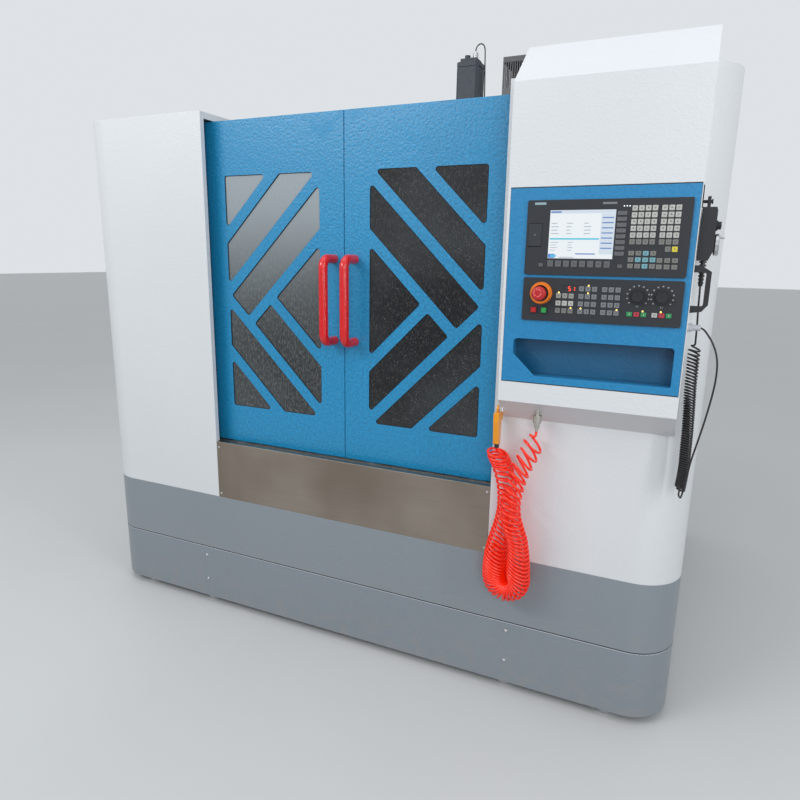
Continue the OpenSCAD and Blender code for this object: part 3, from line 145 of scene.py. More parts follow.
camera = shown("camera", bpy.data.cameras.new("camera"))
camera.matrix_world = Matrix.Translation(at(1101, -1890.3, 1460.2)) @ look(-24.29, -12.84, 0.92)
camera.data.lens = 28.18
camera.data.sensor_width = 36
bpy.context.scene.camera = camera
print("camera at", [round(v, 3) for v in camera.location])

# %% [markdown]
# ## The two curly lines
# The pendant's cable and the air line are wound tubes. The solids hold fat plain tubes in
# their place. Here each turn is drawn: a smooth curve runs through the same route points,
# and the line winds round it. A frame that is carried along the route keeps the turns even.

# %% Helpers for lines
def smooth_route(points, per=12):
    "Points on a smooth curve through the route points."
    out = []
    n = len(points) - 1
    for i in range(n):
        a, b, c, d = points[max(i - 1, 0)], points[i], points[i + 1], points[min(i + 2, n)]
        for k in range(per):
            f = k / per
            out.append((2 * b + (c - a) * f + (2 * a - 5 * b + 4 * c - d) * f * f
                        + (3 * b - a - 3 * c + d) * f ** 3) / 2)
    return out + [points[-1]]

def length_of(points):
    return sum((b - a).length for a, b in zip(points, points[1:]))

def step_route(points, count):
    "The same route in equal steps."
    total, out, i, walked = length_of(points), [points[0]], 0, 0.0
    for k in range(1, count):
        target = total * k / count
        while walked + (points[i + 1] - points[i]).length < target:
            walked += (points[i + 1] - points[i]).length
            i += 1
        piece = points[i + 1] - points[i]
        out.append(points[i] + piece * ((target - walked) / piece.length))
    return out + [points[-1]]

STEPS = 4000  # equal steps along a route that a line winds round

def wind(points, pitch, radius, per_turn, lean, lead=0.95):
    """A line that winds round a route, and runs in and out on its middle over lead turns.
    The distance between turns and their radius may change along it, and they may lean."""
    fine = step_route(points, STEPS)
    step = length_of(fine) / STEPS
    turn, turns_at = 0.0, [0.0]
    for k in range(STEPS):
        turn += step / pitch(k / STEPS)
        turns_at.append(turn)
    count = int(turn * per_turn)
    out, side, k = [], Vector((1, 0, 0)), 0
    for n in range(count + 1):
        want = turn * n / count
        while k < STEPS and turns_at[k] < want:
            k += 1
        ahead = (fine[min(k + 8, STEPS)] - fine[max(k - 8, 0)]).normalized()
        side = (side - ahead * side.dot(ahead)).normalized()
        around = 2 * math.pi * want
        grow = min(1, n / (lead * per_turn), (count - n) / (lead * per_turn))
        grow = grow ** 3 * (grow * (6 * grow - 15) + 10)  # no kink at either end
        wide = radius(k / STEPS) * grow
        out.append(fine[k] + (side * math.cos(around) + ahead.cross(side) * math.sin(around)
                              + ahead * (lean * math.cos(around))) * wide)
    return out

def between(*stops):
    "A value that runs smoothly through (share of the way, value) stops."
    def value(f):
        for (f0, a), (f1, b) in zip(stops, stops[1:]):
            if f <= f1:
                t = (f - f0) / (f1 - f0)
                return a + (b - a) * t * t * (3 - 2 * t)
        return stops[-1][1]
    return value

def line(name, points, diameter, slot, stands_for=(), **cord):
    """A free cord as a curve of one open spline. Its width is in the points' radius, because
    the box that Blender gives a curve is wider by that radius."""
    curve = bpy.data.curves.new(name, "CURVE")
    curve.dimensions = "3D"
    curve.bevel_depth = 1
    curve.bevel_resolution = 3
    curve.use_fill_caps = True
    spline = curve.splines.new("POLY")
    spline.points.add(len(points) - 1)
    for place, p in zip(spline.points, points):
        place.co = (*p, 1)
        place.radius = diameter / 2
    spline.use_smooth = True
    piece = claim(shown(name, curve), "frame")
    if stands_for:
        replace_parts(piece, *stands_for)
    length_of(points)
    print(name, round(length_of(points), 2), "m with", len(points), "points")
    return piece

# %% Pendant cable: straight part, curly part and the way back to the box
BOX_SIDE, BOX_FOOT, BOX_LEFT = 1108, 1046, 612

def hung(side, points):
    "Places counted from one side of the control box and from its lower front edge."
    return [at(x + side, y, z + BOX_FOOT) for x, y, z in points]

down = smooth_route(hung(BOX_SIDE, [(19, -36, 352), (20, -36, 324), (21, -34, 290), (23, -32, 250),
    (24, -30, 207)]), 8)
coil_route = hung(BOX_SIDE, [(24, -30, 207), (24, -30, 150), (25, -30, 86), (28, -30, 26), (31, -30, -46),
    (32, -30, -100), (33, -30, -146), (31, -30, -188), (28, -30, -226)])
coil = wind(smooth_route(coil_route),
    between((0, 0.042), (0.05, 0.0125), (0.14, 0.0092), (0.45, 0.0072), (0.97, 0.0061), (1, 0.034)),
    between((0, 0.0138), (1, 0.0132)), 16, 0.3)
back = smooth_route(hung(BOX_SIDE, [(28, -30, -226), (28, -33, -232), (31, -42, -236), (34, -52, -231),
    (37, -57, -214), (41, -58, -184), (47, -58, -128), (56, -58, -78), (66, -58, -24), (74, -58, 26),
    (80, -58, 72), (83, -58, 112), (82, -58, 150), (76, -57, 180), (65, -55, 206), (52, -52, 226),
    (41, -50, 239), (32, -50, 244)]), 4)
pendant_line = line("pendant_line", down[:-1] + coil + back[1:], 0.005, "cable_rubber",
    ("pendant_cable", "pendant_coil", "pendant_cable_return"), far_end="object", stiffness="medium")

# %% Air line from the coupler to the blow gun
hose_route = hung(BOX_LEFT, [(114, -50, -94), (109, -53, -126), (96, -62, -170), (80, -78, -212),
    (69, -96, -258), (62, -106, -308), (64, -106, -356), (73, -97, -400), (83, -82, -446), (88, -71, -496),
    (88, -64, -550), (86, -61, -594), (74, -59, -619), (48, -57, -630), (22, -55, -619), (9, -51, -592),
    (8, -47, -540), (13, -40, -480), (24, -37, -424), (33, -37, -370), (33, -37, -318), (25, -37, -266),
    (10, -38, -220), (-3, -43, -188), (-8, -46, -163)])
pitch = between((0, 0.062), (0.035, 0.029), (0.2, 0.022), (0.34, 0.016), (0.46, 0.013), (0.52, 0.0092),
    (0.62, 0.0092), (0.7, 0.0155), (0.92, 0.021), (0.955, 0.0105), (0.98, 0.0105), (1, 0.05))
width = between((0, 0.0285), (0.35, 0.0285), (0.47, 0.036), (0.62, 0.036), (0.76, 0.029), (1, 0.0285))
hose = line("air_line", wind(smooth_route(hose_route), pitch, width, 20, 0.55), 0.008, "hose_plastic",
    ("air_hose",), far_end="tool", stiffness="medium", with_pieces=[nodes["air_gun"]])

# %% [markdown]
# ## Shader maths in plain Python
# A finish is a small tree of nodes. Typing the maths as Python expressions keeps it short:
# a Grade wraps a number socket, and adding or multiplying two of them adds a Math node.
# The class Finish holds one material and has a single method that adds any other node.

# %% Grade and Finish
class Grade:
    "A number that varies over a surface."
    def __init__(self, finish, socket):
        self.finish, self.socket = finish, socket

    def work(self, how, other=0.0, swap=False):
        a, b = (other, self) if swap else (self, other)
        made = self.finish.node("ShaderNodeMath", {"operation": how}, {0: a, 1: b})
        return Grade(self.finish, made.outputs[0])

    def __add__(self, other):
        return self.work("ADD", other)

    def __mul__(self, other):
        return self.work("MULTIPLY", other)

    def __sub__(self, other):
        return self.work("SUBTRACT", other)

    def __rsub__(self, other):
        return self.work("SUBTRACT", other, swap=True)

    __radd__, __rmul__ = __add__, __mul__

    def rise(self, low, high):
        "0 below low, 1 above high, smooth between them."
        made = self.finish.node("ShaderNodeMapRange", {"interpolation_type": "SMOOTHSTEP"},
            {"Value": self, "From Min": low, "From Max": high})
        return Grade(self.finish, made.outputs[0])


class Finish:
    "One material, read from the piece's own Object coordinates."
    def __init__(self, name, **shell):
        self.mat = bpy.data.materials.new(name)
        self.mat.use_nodes = True
        self.tree = self.mat.node_tree
        self.shader = self.tree.nodes["Principled BSDF"]
        self.place = self.node("ShaderNodeTexCoord").outputs["Object"]
        for key, value in shell.items():
            self.set(key.replace("_", " ").title().replace("Ior", "IOR"), value)

    def node(self, kind, settings=None, inputs=None):
        made = self.tree.nodes.new(kind)
        for key, value in (settings or {}).items():
            setattr(made, key, value)
        for key, value in (inputs or {}).items():
            self.feed(made.inputs[key], value)
        return made

    def feed(self, socket, value):
        value = value.socket if isinstance(value, Grade) else value
        if isinstance(value, bpy.types.NodeSocket):
            self.tree.links.new(value, socket)
        else:
            socket.default_value = value

    def set(self, name, value):
        self.feed(self.shader.inputs[name], value)
        return self

    def grain(self, size, detail=2.0, stretch=(1, 1, 1)):
        "Soft noise with spots of about this size, in metres."
        place = self.node("ShaderNodeMapping", None, {"Vector": self.place, "Scale": stretch}).outputs[0]
        made = self.node("ShaderNodeTexNoise", None,
            {"Vector": place, "Scale": 0.6 / size, "Detail": detail})
        return Grade(self, made.outputs[0])

    def drops(self, size):
        "Distance to the nearest of many scattered points, in units of their spacing."
        made = self.node("ShaderNodeTexVoronoi", None,
            {"Vector": self.place, "Scale": 1 / size, "Randomness": 1.0})
        return Grade(self, made.outputs["Distance"])

    def tint(self):
        "The colour that each repeated piece carries with it."
        return self.node("ShaderNodeAttribute", {"attribute_name": "tint"}).outputs["Color"]

    def along(self, axis):
        made = self.node("ShaderNodeSeparateXYZ", None, {0: self.place})
        return Grade(self, made.outputs[axis])

    def blend(self, share, first, second):
        "Colour that goes from first to second as share goes from 0 to 1."
        made = self.node("ShaderNodeMix", {"data_type": "RGBA"}, {0: share, 6: first, 7: second})
        return made.outputs[2]

    def relief(self, height, depth, strength=1.0):
        "Height in parts of depth, which is in metres."
        made = self.node("ShaderNodeBump", None,
            {"Height": height, "Distance": depth, "Strength": strength})
        return self.set("Normal", made.outputs[0])


def ink(*rgb):
    "Colour on the 0 to 255 scale of a paint card, made linear."
    return tuple(((c / 255 + 0.055) / 1.055) ** 2.4 if c > 10 else c / 3294.6 for c in rgb) + (1.0,)

def shade(colour, factor):
    return tuple(min(1.0, c * factor) for c in colour[:3]) + (1.0,)

# %% [markdown]
# ## Paint on the sheet metal
# The covers, skirts and doors are powder coated. Such a coat isn't flat: it dries to fine
# bumps like orange peel, which break up the reflections. Under it the colour varies a
# little, dust settles low down, and hands and swarf leave faint rubs. Noise at three
# sizes makes this: millimetres for the peel, centimetres for rubs, half a metre for tone.

# %% Powder coat
def powder_coat(name, colour, peel, depth, rough, speck, dust_to=0.0, shade_and_grime_from=None):
    """Paint with its peel, in metres, and specks; dust up to a height; grime and painted shade deeper in a
    pocket.
    """
    coat = Finish(name + "_powder_coat", coat_roughness=0.18)
    fine = coat.grain(peel, 3.0)
    tone = coat.grain(0.5)
    rub = coat.grain(0.06, 4.0).rise(0.56, 0.74)
    base = coat.blend((fine - 0.5) * speck * 9 + 0.5, shade(colour, 1 - speck), shade(colour, 1 + speck))
    base = coat.blend(tone.rise(0.3, 0.7) * 0.5, base, shade(colour, 0.94))
    # Grime and painted shade: the colour darkens deeper in the pocket, where shadow falls.
    if shade_and_grime_from is not None:
        grime_and_painted_shade = coat.along("Y").rise(shade_and_grime_from, shade_and_grime_from + 0.05)
        base = coat.blend(grime_and_painted_shade * 0.75, base, shade(colour, 0.3))
    if dust_to:
        low = 1 - coat.along("Z").rise(0.02, dust_to)
        base = coat.blend(low * coat.grain(0.03, 4.0).rise(0.35, 0.7) * 0.35, base, ink(150, 146, 138))
    coat.set("Base Color", base)
    coat.set("Roughness", (fine - 0.5) * 0.3 + rub * 0.12 + rough)
    coat.set("Coat Weight", 0.25 - rub * 0.12)
    return coat.relief(fine + coat.grain(peel * 2.6) * 0.4, depth)

# The fascia's pocket gets grime and painted shade from this depth back.
POCKET_SHADE_FROM = at(0, box_mm("control_fascia")[0].y + 8, 0).y
white_coat = powder_coat("white", ink(221, 225, 228), 0.0035, 0.0007, 0.38, 0.02, 0.55)
blue_coat = powder_coat("blue", ink(30, 138, 188), 0.0052, 0.0015, 0.36, 0.26)
fascia_coat = powder_coat("fascia", ink(28, 130, 184), 0.0045, 0.0009, 0.38, 0.14, shade_and_grime_from=POCKET_SHADE_FROM)
skirt_coat = powder_coat("skirt", ink(133, 142, 150), 0.0035, 0.0008, 0.42, 0.03, 0.3)
upper_coat = powder_coat("upper_skirt", ink(136, 145, 152), 0.0035, 0.0008, 0.42, 0.03, 0.5)
dark_coat = powder_coat("dark", ink(58, 62, 66), 0.0030, 0.0006, 0.45, 0.05)
print("paints:", [m.name for m in bpy.data.materials if "powder" in m.name])

# %% [markdown]
# ## Bare metal
# The sill is stainless sheet, rolled and brushed along its length. Long thin streaks in
# roughness and relief give the drawn-out reflections. Ground slides and screws are
# smoother, and the castings inside are filled and painted.

# %% Stainless sheet, ground steel, castings
def brushed(name, colour, rough, stretch, stain):
    "Metal with streaks drawn out where stretch is small."
    metal = Finish(name, metallic=1.0)
    streak = metal.grain(0.004, 3.0, stretch)
    cloud = metal.grain(0.25, 3.0)
    smear = metal.grain(0.05, 4.0).rise(0.5, 0.8)
    base = metal.blend(streak, shade(colour, 0.86), shade(colour, 1.08))
    base = metal.blend(cloud.rise(0.35, 0.75) * stain, base, ink(118, 104, 90))
    metal.set("Base Color", base)
    metal.set("Roughness", streak * 0.16 + smear * 0.14 + rough)
    return metal.relief(streak, 0.0003, 0.6)

stainless = brushed("stainless_sheet", ink(160, 149, 138), 0.27, (0.03, 1, 1), 0.6)
guard_sheet = brushed("guard_sheet", ink(204, 205, 202), 0.4, (1, 1, 0.04), 0.1)
ground_steel = brushed("ground_steel", ink(190, 192, 195), 0.18, (0.08, 1, 1), 0.1)
turned_steel = brushed("turned_steel", ink(198, 199, 201), 0.2, (1, 1, 6), 0.05)
nickel = brushed("nickel_fitting", ink(198, 194, 186), 0.12, (1, 1, 5), 0.1)

def cast_paint(name, colour):
    cast = Finish(name)
    pitted = cast.grain(0.012, 4.0)
    base = cast.blend(pitted, shade(colour, 0.9), shade(colour, 1.05))
    oil = cast.grain(0.2, 3.0).rise(0.55, 0.7)
    cast.set("Base Color", cast.blend(oil * 0.35, base, shade(colour, 0.6)))
    cast.set("Roughness", pitted * 0.2 + 0.42 - oil * 0.2)
    return cast.relief(pitted + cast.grain(0.003) * 0.4, 0.001)

casting = cast_paint("painted_casting", ink(206, 209, 206))
motor_paint = cast_paint("motor_paint", ink(54, 61, 71))
print("metals made")

# %% [markdown]
# ## Plastics, rubber, glass
# Moulded cases have a fine spark-eroded grain. Handles, buttons and the gun are smooth
# and glossy with small scratches. The panes are dark safety glass, wet inside with
# coolant: scattered drops and dried specks catch the light.

# %% Plastics and rubber
def moulded(name, colour, rough, coat=0.2, grain=0.002, depth=0.0002, below=None):
    "Moulded plastic; below is a height and the colour under it, for a piece of two."
    shell = Finish(name, coat_roughness=0.1)
    fine = shell.grain(grain)
    worn = shell.grain(0.03, 4.0).rise(0.55, 0.75)
    base = shell.blend(fine * 0.6 + worn * 0.4, shade(colour, 0.9), shade(colour, 1.12))
    if below:
        base = shell.blend(1 - shell.along("Z").rise(below[0] - 0.0002, below[0]), base, below[1])
    shell.set("Base Color", base)
    shell.set("Roughness", fine * 0.12 + worn * 0.1 + rough)
    shell.set("Coat Weight", coat - worn * coat * 0.4)
    return shell.relief(fine, depth)

SPARKED = {"coat": 0.0, "grain": 0.0012, "depth": 0.00025}
case_plastic = moulded("case_plastic", ink(32, 36, 42), 0.5, **SPARKED)
bezel_plastic = moulded("bezel_plastic", ink(42, 46, 53), 0.42, **SPARKED)
black_plastic = moulded("black_plastic", ink(22, 25, 30), 0.42, **SPARKED)
red_gloss = moulded("red_gloss", ink(222, 14, 18), 0.2, 0.5, 0.02)
stop_red = moulded("stop_red", ink(186, 18, 22), 0.3, 0.4)
green_gloss = moulded("green_gloss", ink(40, 160, 72), 0.3, 0.4)
ring_orange = moulded("ring_orange", ink(238, 128, 32), 0.35)
gun_yellow = moulded("gun_yellow", ink(240, 156, 14), 0.3, 0.4, below=(0.8975, ink(24, 22, 22)))
gland_plastic = moulded("gland_plastic", ink(24, 26, 30), 0.35, below=(1.33, ink(196, 200, 206)))
cable_black = moulded("cable_black", ink(14, 15, 17), 0.38)
lead_green = moulded("lead_green", ink(30, 44, 36), 0.4, 0.1)
# A dark strip finish that paints shade: at the window edges and in the joints between sheets.
seal_rubber = moulded("seal_rubber", ink(26, 27, 28), 0.5, 0.0, depth=0.0001)
# Painted highlight: a pale finish for the lit top edge of the lower skirt.
highlight_edge_finish = moulded("worn_edge_paint", ink(206, 212, 218), 0.3, 0.3, 0.004, 0.0001)

hose_red = Finish("hose_red", coat_roughness=0.08, subsurface_scale=0.004)
pull = hose_red.grain(0.02)
hose_red.set("Base Color", hose_red.blend(pull, ink(234, 22, 2), ink(248, 54, 8)))
hose_red.set("Roughness", pull * 0.1 + 0.22)
hose_red.set("Coat Weight", 0.3 - pull * 0.1)
# Painted glow: a weak red emission, though the hose is no lamp.
hose_red.set("Emission Color", ink(150, 14, 2)).set("Emission Strength", 0.3)
pendant_line.data.materials.append(cable_black.mat)
hose.data.materials.append(hose_red.mat)

# %% Glass
def pane_glass():
    "Dark glass with a wet, speckled film; the left door's is wetter and paler at the top."
    glass = Finish("wet_door_glass", ior=1.5)
    high = glass.along("Z").rise(0.95, 1.75)
    left = 1 - glass.along("X").rise(-0.02, 0.06)
    fine = glass.grain(0.0034, 3.0, (1, 1, 0.35)).rise(0.46, 0.64)
    cloud = glass.grain(0.22, 3.0).rise(0.35, 0.7)
    bead = (1 - glass.drops(0.0046).rise(0.08, 0.26)) * glass.grain(0.014).rise(0.42, 0.62)
    # The left pane's wet film, plus painted light: it grows paler towards the top, where light falls into
    # the machine.
    mist_and_painted_light = left * (high * high * 0.66 + 0.06) + cloud * 0.05
    tone = glass.blend(mist_and_painted_light, ink(20, 22, 25), ink(186, 198, 204))
    tone = glass.blend(fine * (left * 0.2 + 0.05), tone, ink(150, 152, 146))
    glass.set("Base Color", glass.blend(bead * (0.55 - high * 0.28), tone, ink(196, 198, 194)))
    glass.set("Roughness", bead * 0.2 + fine * 0.16 + 0.08)
    glass.set("Alpha", mist_and_painted_light * 0.04 + bead * 0.04 + 0.95 - left * 0.05)
    glass.mat.surface_render_method = "BLENDED"
    return glass.relief(bead, 0.0005)

door_glass = pane_glass()
screen_glass = Finish("screen_glass", ior=1.5)
smudge = screen_glass.grain(0.03, 3.0)
screen_glass.set("Base Color", screen_glass.blend(smudge, ink(16, 20, 26), ink(30, 36, 44)))
screen_glass.set("Roughness", smudge * 0.12 + 0.08)
print("materials:", len(bpy.data.materials))

# %% [markdown]
# ## Finishes on the carried-over solids
# Most solids already have the right shape, so they stay and only get their finish.
# A table from finish to node names keeps this in one place.

# %% Give each node its finish
wear = {
    white_coat: ["left_cover", "right_cover", "control_box", "electrical_cabinet", "cabinet_door"],
    blue_coat: ["left_door", "right_door"],
    fascia_coat: ["control_fascia"],
    skirt_coat: ["lower_skirt"],
    upper_coat: ["upper_skirt"],
    dark_coat: ["resistor_box"],
    stainless: ["sill_panel"],
    guard_sheet: ["splash_guard", "door_rails"],
    ground_steel: ["table", "x_ball_screw", "y_ball_screw", "z_ball_screw", "tool_carousel"],
    turned_steel: ["spindle", "pendant_wheel", "levelling_feet"],
    nickel: ["air_coupler"],
    casting: ["bed", "column", "saddle", "headstock", "magazine_bracket"],
    motor_paint: ["spindle_motor", "axis_servos", "x_servo", "magazine_carriage"],
    door_glass: ["left_window", "right_window"],
    screen_glass: ["screen"],
    case_plastic: ["display_unit", "operator_panel", "panel_keys"],
    bezel_plastic: ["port_cover"],
    black_plastic: ["feed_dial", "spindle_dial", "pendant_body", "pendant_knob", "pendant_bracket",
        "side_handle", "air_gun_trigger"],
    gland_plastic: ["cable_glands"],
    red_gloss: ["left_door_handle", "right_door_handle"],
    stop_red: ["estop_button", "power_off_button", "main_switch"],
    green_gloss: ["power_on_button"],
    ring_orange: ["estop_guard"],
    gun_yellow: ["air_gun"],
    cable_black: ["pendant_cable", "pendant_coil", "pendant_cable_return"],
    hose_red: ["air_hose"],
}
finish_of = {name: finish for finish, names in wear.items() for name in names}
for name, finish in finish_of.items():
    nodes[name].data.materials.clear()
    nodes[name].data.materials.append(finish.mat)
print("nodes without a finish:", sorted(set(nodes) - set(finish_of)))

# %% [markdown]
# ## Softened folds
# Folded sheet has round edges, and they catch a thin line of light that tells the eye
# it is metal. The solids have sharp edges. A copy of each large sheet piece gets its
# double points merged, its flat faces joined again, and a narrow Bevel on every edge
# sharper than a third of a right angle. The copy then stands for the solid.

# %% Bevelled copies of the sheet pieces
body_of = {n: b for b, names in frame["record"]["behaviour"]["bodies"].items() for n in names}

def soften(node, width):
    "Stand-in for a node with rounded edges."
    mesh = nodes[node].data.copy()
    if "custom_normal" in mesh.attributes:
        mesh.attributes.remove(mesh.attributes["custom_normal"])
    form = bmesh.new()
    form.from_mesh(mesh)
    bmesh.ops.remove_doubles(form, verts=form.verts, dist=2e-6)
    bmesh.ops.dissolve_limit(form, angle_limit=math.radians(1), verts=form.verts, edges=form.edges)
    form.to_mesh(mesh)
    form.free()
    mesh.shade_smooth()
    mesh.materials.clear()
    piece = shown(node + "_soft", mesh, finish_of[node])
    edge = piece.modifiers.new("edge", "BEVEL")
    edge.width, edge.segments, edge.limit_method = width, 2, "ANGLE"
    edge.angle_limit = math.radians(32)
    edge.use_clamp_overlap = True
    flat = piece.modifiers.new("flat", "WEIGHTED_NORMAL")
    flat.mode, flat.weight = "FACE_AREA", 100
    keep(piece)
    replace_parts(claim(piece, body_of[node]), node)
    return piece

folds = {"left_cover": 0.0016, "right_cover": 0.0016, "lower_skirt": 0.0018, "upper_skirt": 0.0018,
    "control_box": 0.0018, "control_fascia": 0.001, "left_door": 0.0012, "right_door": 0.0012,
    "sill_panel": 0.0014, "display_unit": 0.0012, "operator_panel": 0.0012, "resistor_box": 0.001,
    "electrical_cabinet": 0.0015, "cabinet_door": 0.0015, "pendant_body": 0.002}
for name, width in folds.items():
    made = soften(name, width)
    print(name, len(made.data.polygons), "faces")

# %% [markdown]
# ## Dark lips round the windows
# Each pane sits behind its opening, whose rim lies in shade and shows as a thin dark line.
# A black lip along every edge paints this shade. The openings follow the same rule as in
# the drawing: slanted lines at 45 degrees, given by the sum or the difference of their two
# coordinates. A rounded outline is taken from each, and a low lip is swept along it.

# %% Outlines of the openings
STILE, FIELD_W, FIELD_H, SLOT, BAR = 97, 408, 869, 151, 54
FIELD_FOOT, DOOR_FACE = 874, 60
ACROSS = (-BAR, -SLOT, -BAR, -SLOT, -BAR)
c5, c4, c3, c2, c1, c0 = accumulate((FIELD_H + 220, *ACROSS))  # x + z on the falling edges
k0, k1, k2, k3, k4, k5 = accumulate((243, *ACROSS))            # z - x on the rising edges

def cross(fall, rise):
    "Where a falling edge meets a rising one."
    return (fall - rise) / 2, (fall + rise) / 2

openings = [
    [(c5 - FIELD_H, FIELD_H), (FIELD_W, FIELD_H), (FIELD_W, c5 - FIELD_W)],
    [(c3 - FIELD_H, FIELD_H), (c4 - FIELD_H, FIELD_H), (FIELD_W, c4 - FIELD_W), (FIELD_W, c3 - FIELD_W)],
    [(0, c1), (0, c2), cross(c2, k2), cross(c1, k2)],
    [(0, k0), (0, c0), cross(c0, k0)],
    [(FIELD_W, FIELD_W + k4), (FIELD_W, FIELD_W + k3), (-k3, 0), (-k4, 0)],
    [(0, k2), (0, k1), cross(c0, k1), cross(c0, k2)],
    [(FIELD_W, 0), (FIELD_W, FIELD_W + k5), (-k5, 0)],
]

def round_corners(outline, radius, chords=5):
    "Outline with an arc at every corner."
    out = []
    n = len(outline)
    for i in range(n):
        p = Vector(outline[i])
        a = (Vector(outline[i - 1]) - p).normalized()
        b = (Vector(outline[(i + 1) % n]) - p).normalized()
        half = math.acos(max(-1, min(1, a.dot(b)))) / 2
        middle = p + (a + b).normalized() * (radius / math.sin(half))
        first, last = (p + way * (radius / math.tan(half)) - middle for way in (a, b))
        turn = first.angle_signed(last)
        for k in range(chords + 1):
            t = -turn * k / chords
            out.append(middle + Matrix.Rotation(t, 2) @ first)
    return out

print("openings in a door:", len(openings))

# %% A lip along each opening
LIP = (-0.4, 2.9), (0.0, 0.9), (0.7, 0.5), (1.5, 0.9), (1.9, 2.9)  # inwards, behind the face

def lips(side):
    """Dark lips of painted shade for one door; side is -1 for the left door and 1 for the right."""
    def build(form):
        for outline in openings:
            edge = round_corners(outline, 9)
            middle = sum(edge, Vector((0, 0))) / len(edge)
            rings = []
            for i, p in enumerate(edge):
                ahead = (edge[(i + 1) % len(edge)] - edge[i - 1]).normalized()
                inward = Vector((-ahead.y, ahead.x))
                inward = -inward if inward.dot(middle - p) < 0 else inward
                rings.append([form.verts.new(at(side * (STILE + p.x + inward.x * step), DOOR_FACE + y,
                    FIELD_FOOT + p.y + inward.y * step)) for step, y in LIP])
            skin(form, rings + rings[:1])
    return build

# Black lips of painted shade along the openings of each door.
for side, door in ((-1, "left"), (1, "right")):
    mesh = built(door + "_window_seals", lips(side))
    mesh.shade_smooth()
    claim(shown(mesh.name, mesh, seal_rubber), body_of[door + "_door"])
    print(door, "window lips:", len(mesh.polygons), "faces")

# %% [markdown]
# ## Repeating small pieces with Geometry Nodes
# Keys, marks, lamps, screws and the dots round the dials all repeat one small shape at
# many places. One tree does it: it puts a shape on every point of a mesh, turned to the
# point's own "facing" and scaled by its own "size", which counts in the tree's Unit.
# Realize Instances makes real faces of them, because an export drops instances, and Set
# Material gives the finish.

# %% The tree that repeats a shape
def repeat_tree():
    tree = bpy.data.node_groups.new("repeat_a_shape", "GeometryNodeTree")
    for name, way, kind in (("Places", "INPUT", "Geometry"), ("Shape", "INPUT", "Object"),
            ("Unit", "INPUT", "Float"), ("Finish", "INPUT", "Material"), ("Made", "OUTPUT", "Geometry")):
        tree.interface.new_socket(name, in_out=way, socket_type="NodeSocket" + kind)
    def add(kind, **settings):
        made = tree.nodes.new(kind)
        for key, value in settings.items():
            setattr(made, key, value)
        return made
    def stored(name):
        made = add("GeometryNodeInputNamedAttribute", data_type="FLOAT_VECTOR")
        made.inputs["Name"].default_value = name
        return made
    start, end, shape = add("NodeGroupInput"), add("NodeGroupOutput"), add("GeometryNodeObjectInfo")
    turn, scale = add("FunctionNodeAlignRotationToVector", axis="Z"), add(
        "ShaderNodeVectorMath", operation="SCALE")
    spread, real = add("GeometryNodeInstanceOnPoints"), add("GeometryNodeRealizeInstances")
    paint = add("GeometryNodeSetMaterial")
    for a, out, b, into in (
            (start, "Shape", shape, "Object"), (start, "Places", spread, "Points"),
            (shape, "Geometry", spread, "Instance"), (stored("facing"), "Attribute", turn, "Vector"),
            (turn, "Rotation", spread, "Rotation"), (stored("size"), "Attribute", scale, 0),
            (start, "Unit", scale, "Scale"), (scale, "Vector", spread, "Scale"),
            (spread, "Instances", real, "Geometry"), (real, "Geometry", paint, "Geometry"),
            (start, "Finish", paint, "Material"), (paint, "Geometry", end, "Made")):
        tree.links.new(a.outputs[out], b.inputs[into])
    return tree

REPEAT = repeat_tree()
INPUTS = {s.name: s.identifier for s in REPEAT.interface.items_tree if s.in_out == "INPUT"}
print("inputs of the tree:", list(INPUTS))

# %% Use the tree, then keep only its mesh
def repeat(name, places, shape, finish, body="frame"):
    """places is a list of (point, facing, size, tint); size is in millimetres along the
    shape's own X, Y and Z, and tint a colour that the finish may read."""
    mesh = bpy.data.meshes.new(name)
    mesh.from_pydata([p[0] for p in places], [], [])
    for key, column, kind, field in (("facing", 1, "FLOAT_VECTOR", "vector"),
            ("size", 2, "FLOAT_VECTOR", "vector"), ("tint", 3, "FLOAT_COLOR", "color")):
        store = mesh.attributes.new(key, kind, "POINT")
        store.data.foreach_set(field, [c for p in places for c in p[column]])
    piece = shown(name, mesh)
    tool = piece.modifiers.new("repeat", "NODES")
    tool.node_group = REPEAT
    tool[INPUTS["Shape"]] = shape
    tool[INPUTS["Unit"]] = 0.001
    tool[INPUTS["Finish"]] = finish.mat
    smooth(keep(piece))
    print(name, len(places), "times,", len(piece.data.polygons), "faces")
    return claim(piece, body)

def pattern(name, build):
    "A hidden shape that the tree repeats."
    return bpy.data.objects.new(name, built(name, build))

def lathe(profile, sides):
    "Turned shape from (radius, height) pairs, axis along Z; a radius of 0 closes it."
    def build(form):
        skin(form, [[form.verts.new((*polar(r, 360 * k / sides), z)) for k in range(sides if r else 1)]
            for r, z in profile])
    return build

FRONT = Vector((0, -1, 0))
WHITE = (1, 1, 1, 1)

# %% [markdown]
# ## Keys
# The control has about a hundred keys. Each is a small moulded cap with a rounded rim and
# a shallow dish, with a printed sign on it. The signs here are plain strokes that stand
# for no letter. One cap shape is repeated, and each place carries its own width, height
# and colour, so light, grey, yellow and blue keys share one mesh.

# %% The key cap
def cap(form):
    "Unit cap: 1 by 1 across and 1 high, facing +Z, with a rounded rim and a dish."
    rings = []
    levels = [(0.5, 0.0, 0.1), (0.5, 0.72, 0.1), (0.455, 0.95, 0.13), (0.4, 1.0, 0.14), (0.3, 0.9, 0.12)]
    for half, z, r in levels:
        rings.append([])
        for cx, cy, start in ((1, 1, 0), (-1, 1, 90), (-1, -1, 180), (1, -1, 270)):
            for k in range(3):
                x, y = polar(r, start + 45 * k)
                rings[-1].append(form.verts.new((cx * (half - r) + x, cy * (half - r) + y, z)))
    skin(form, rings, ends=True)

key_cap = pattern("key_cap", cap)

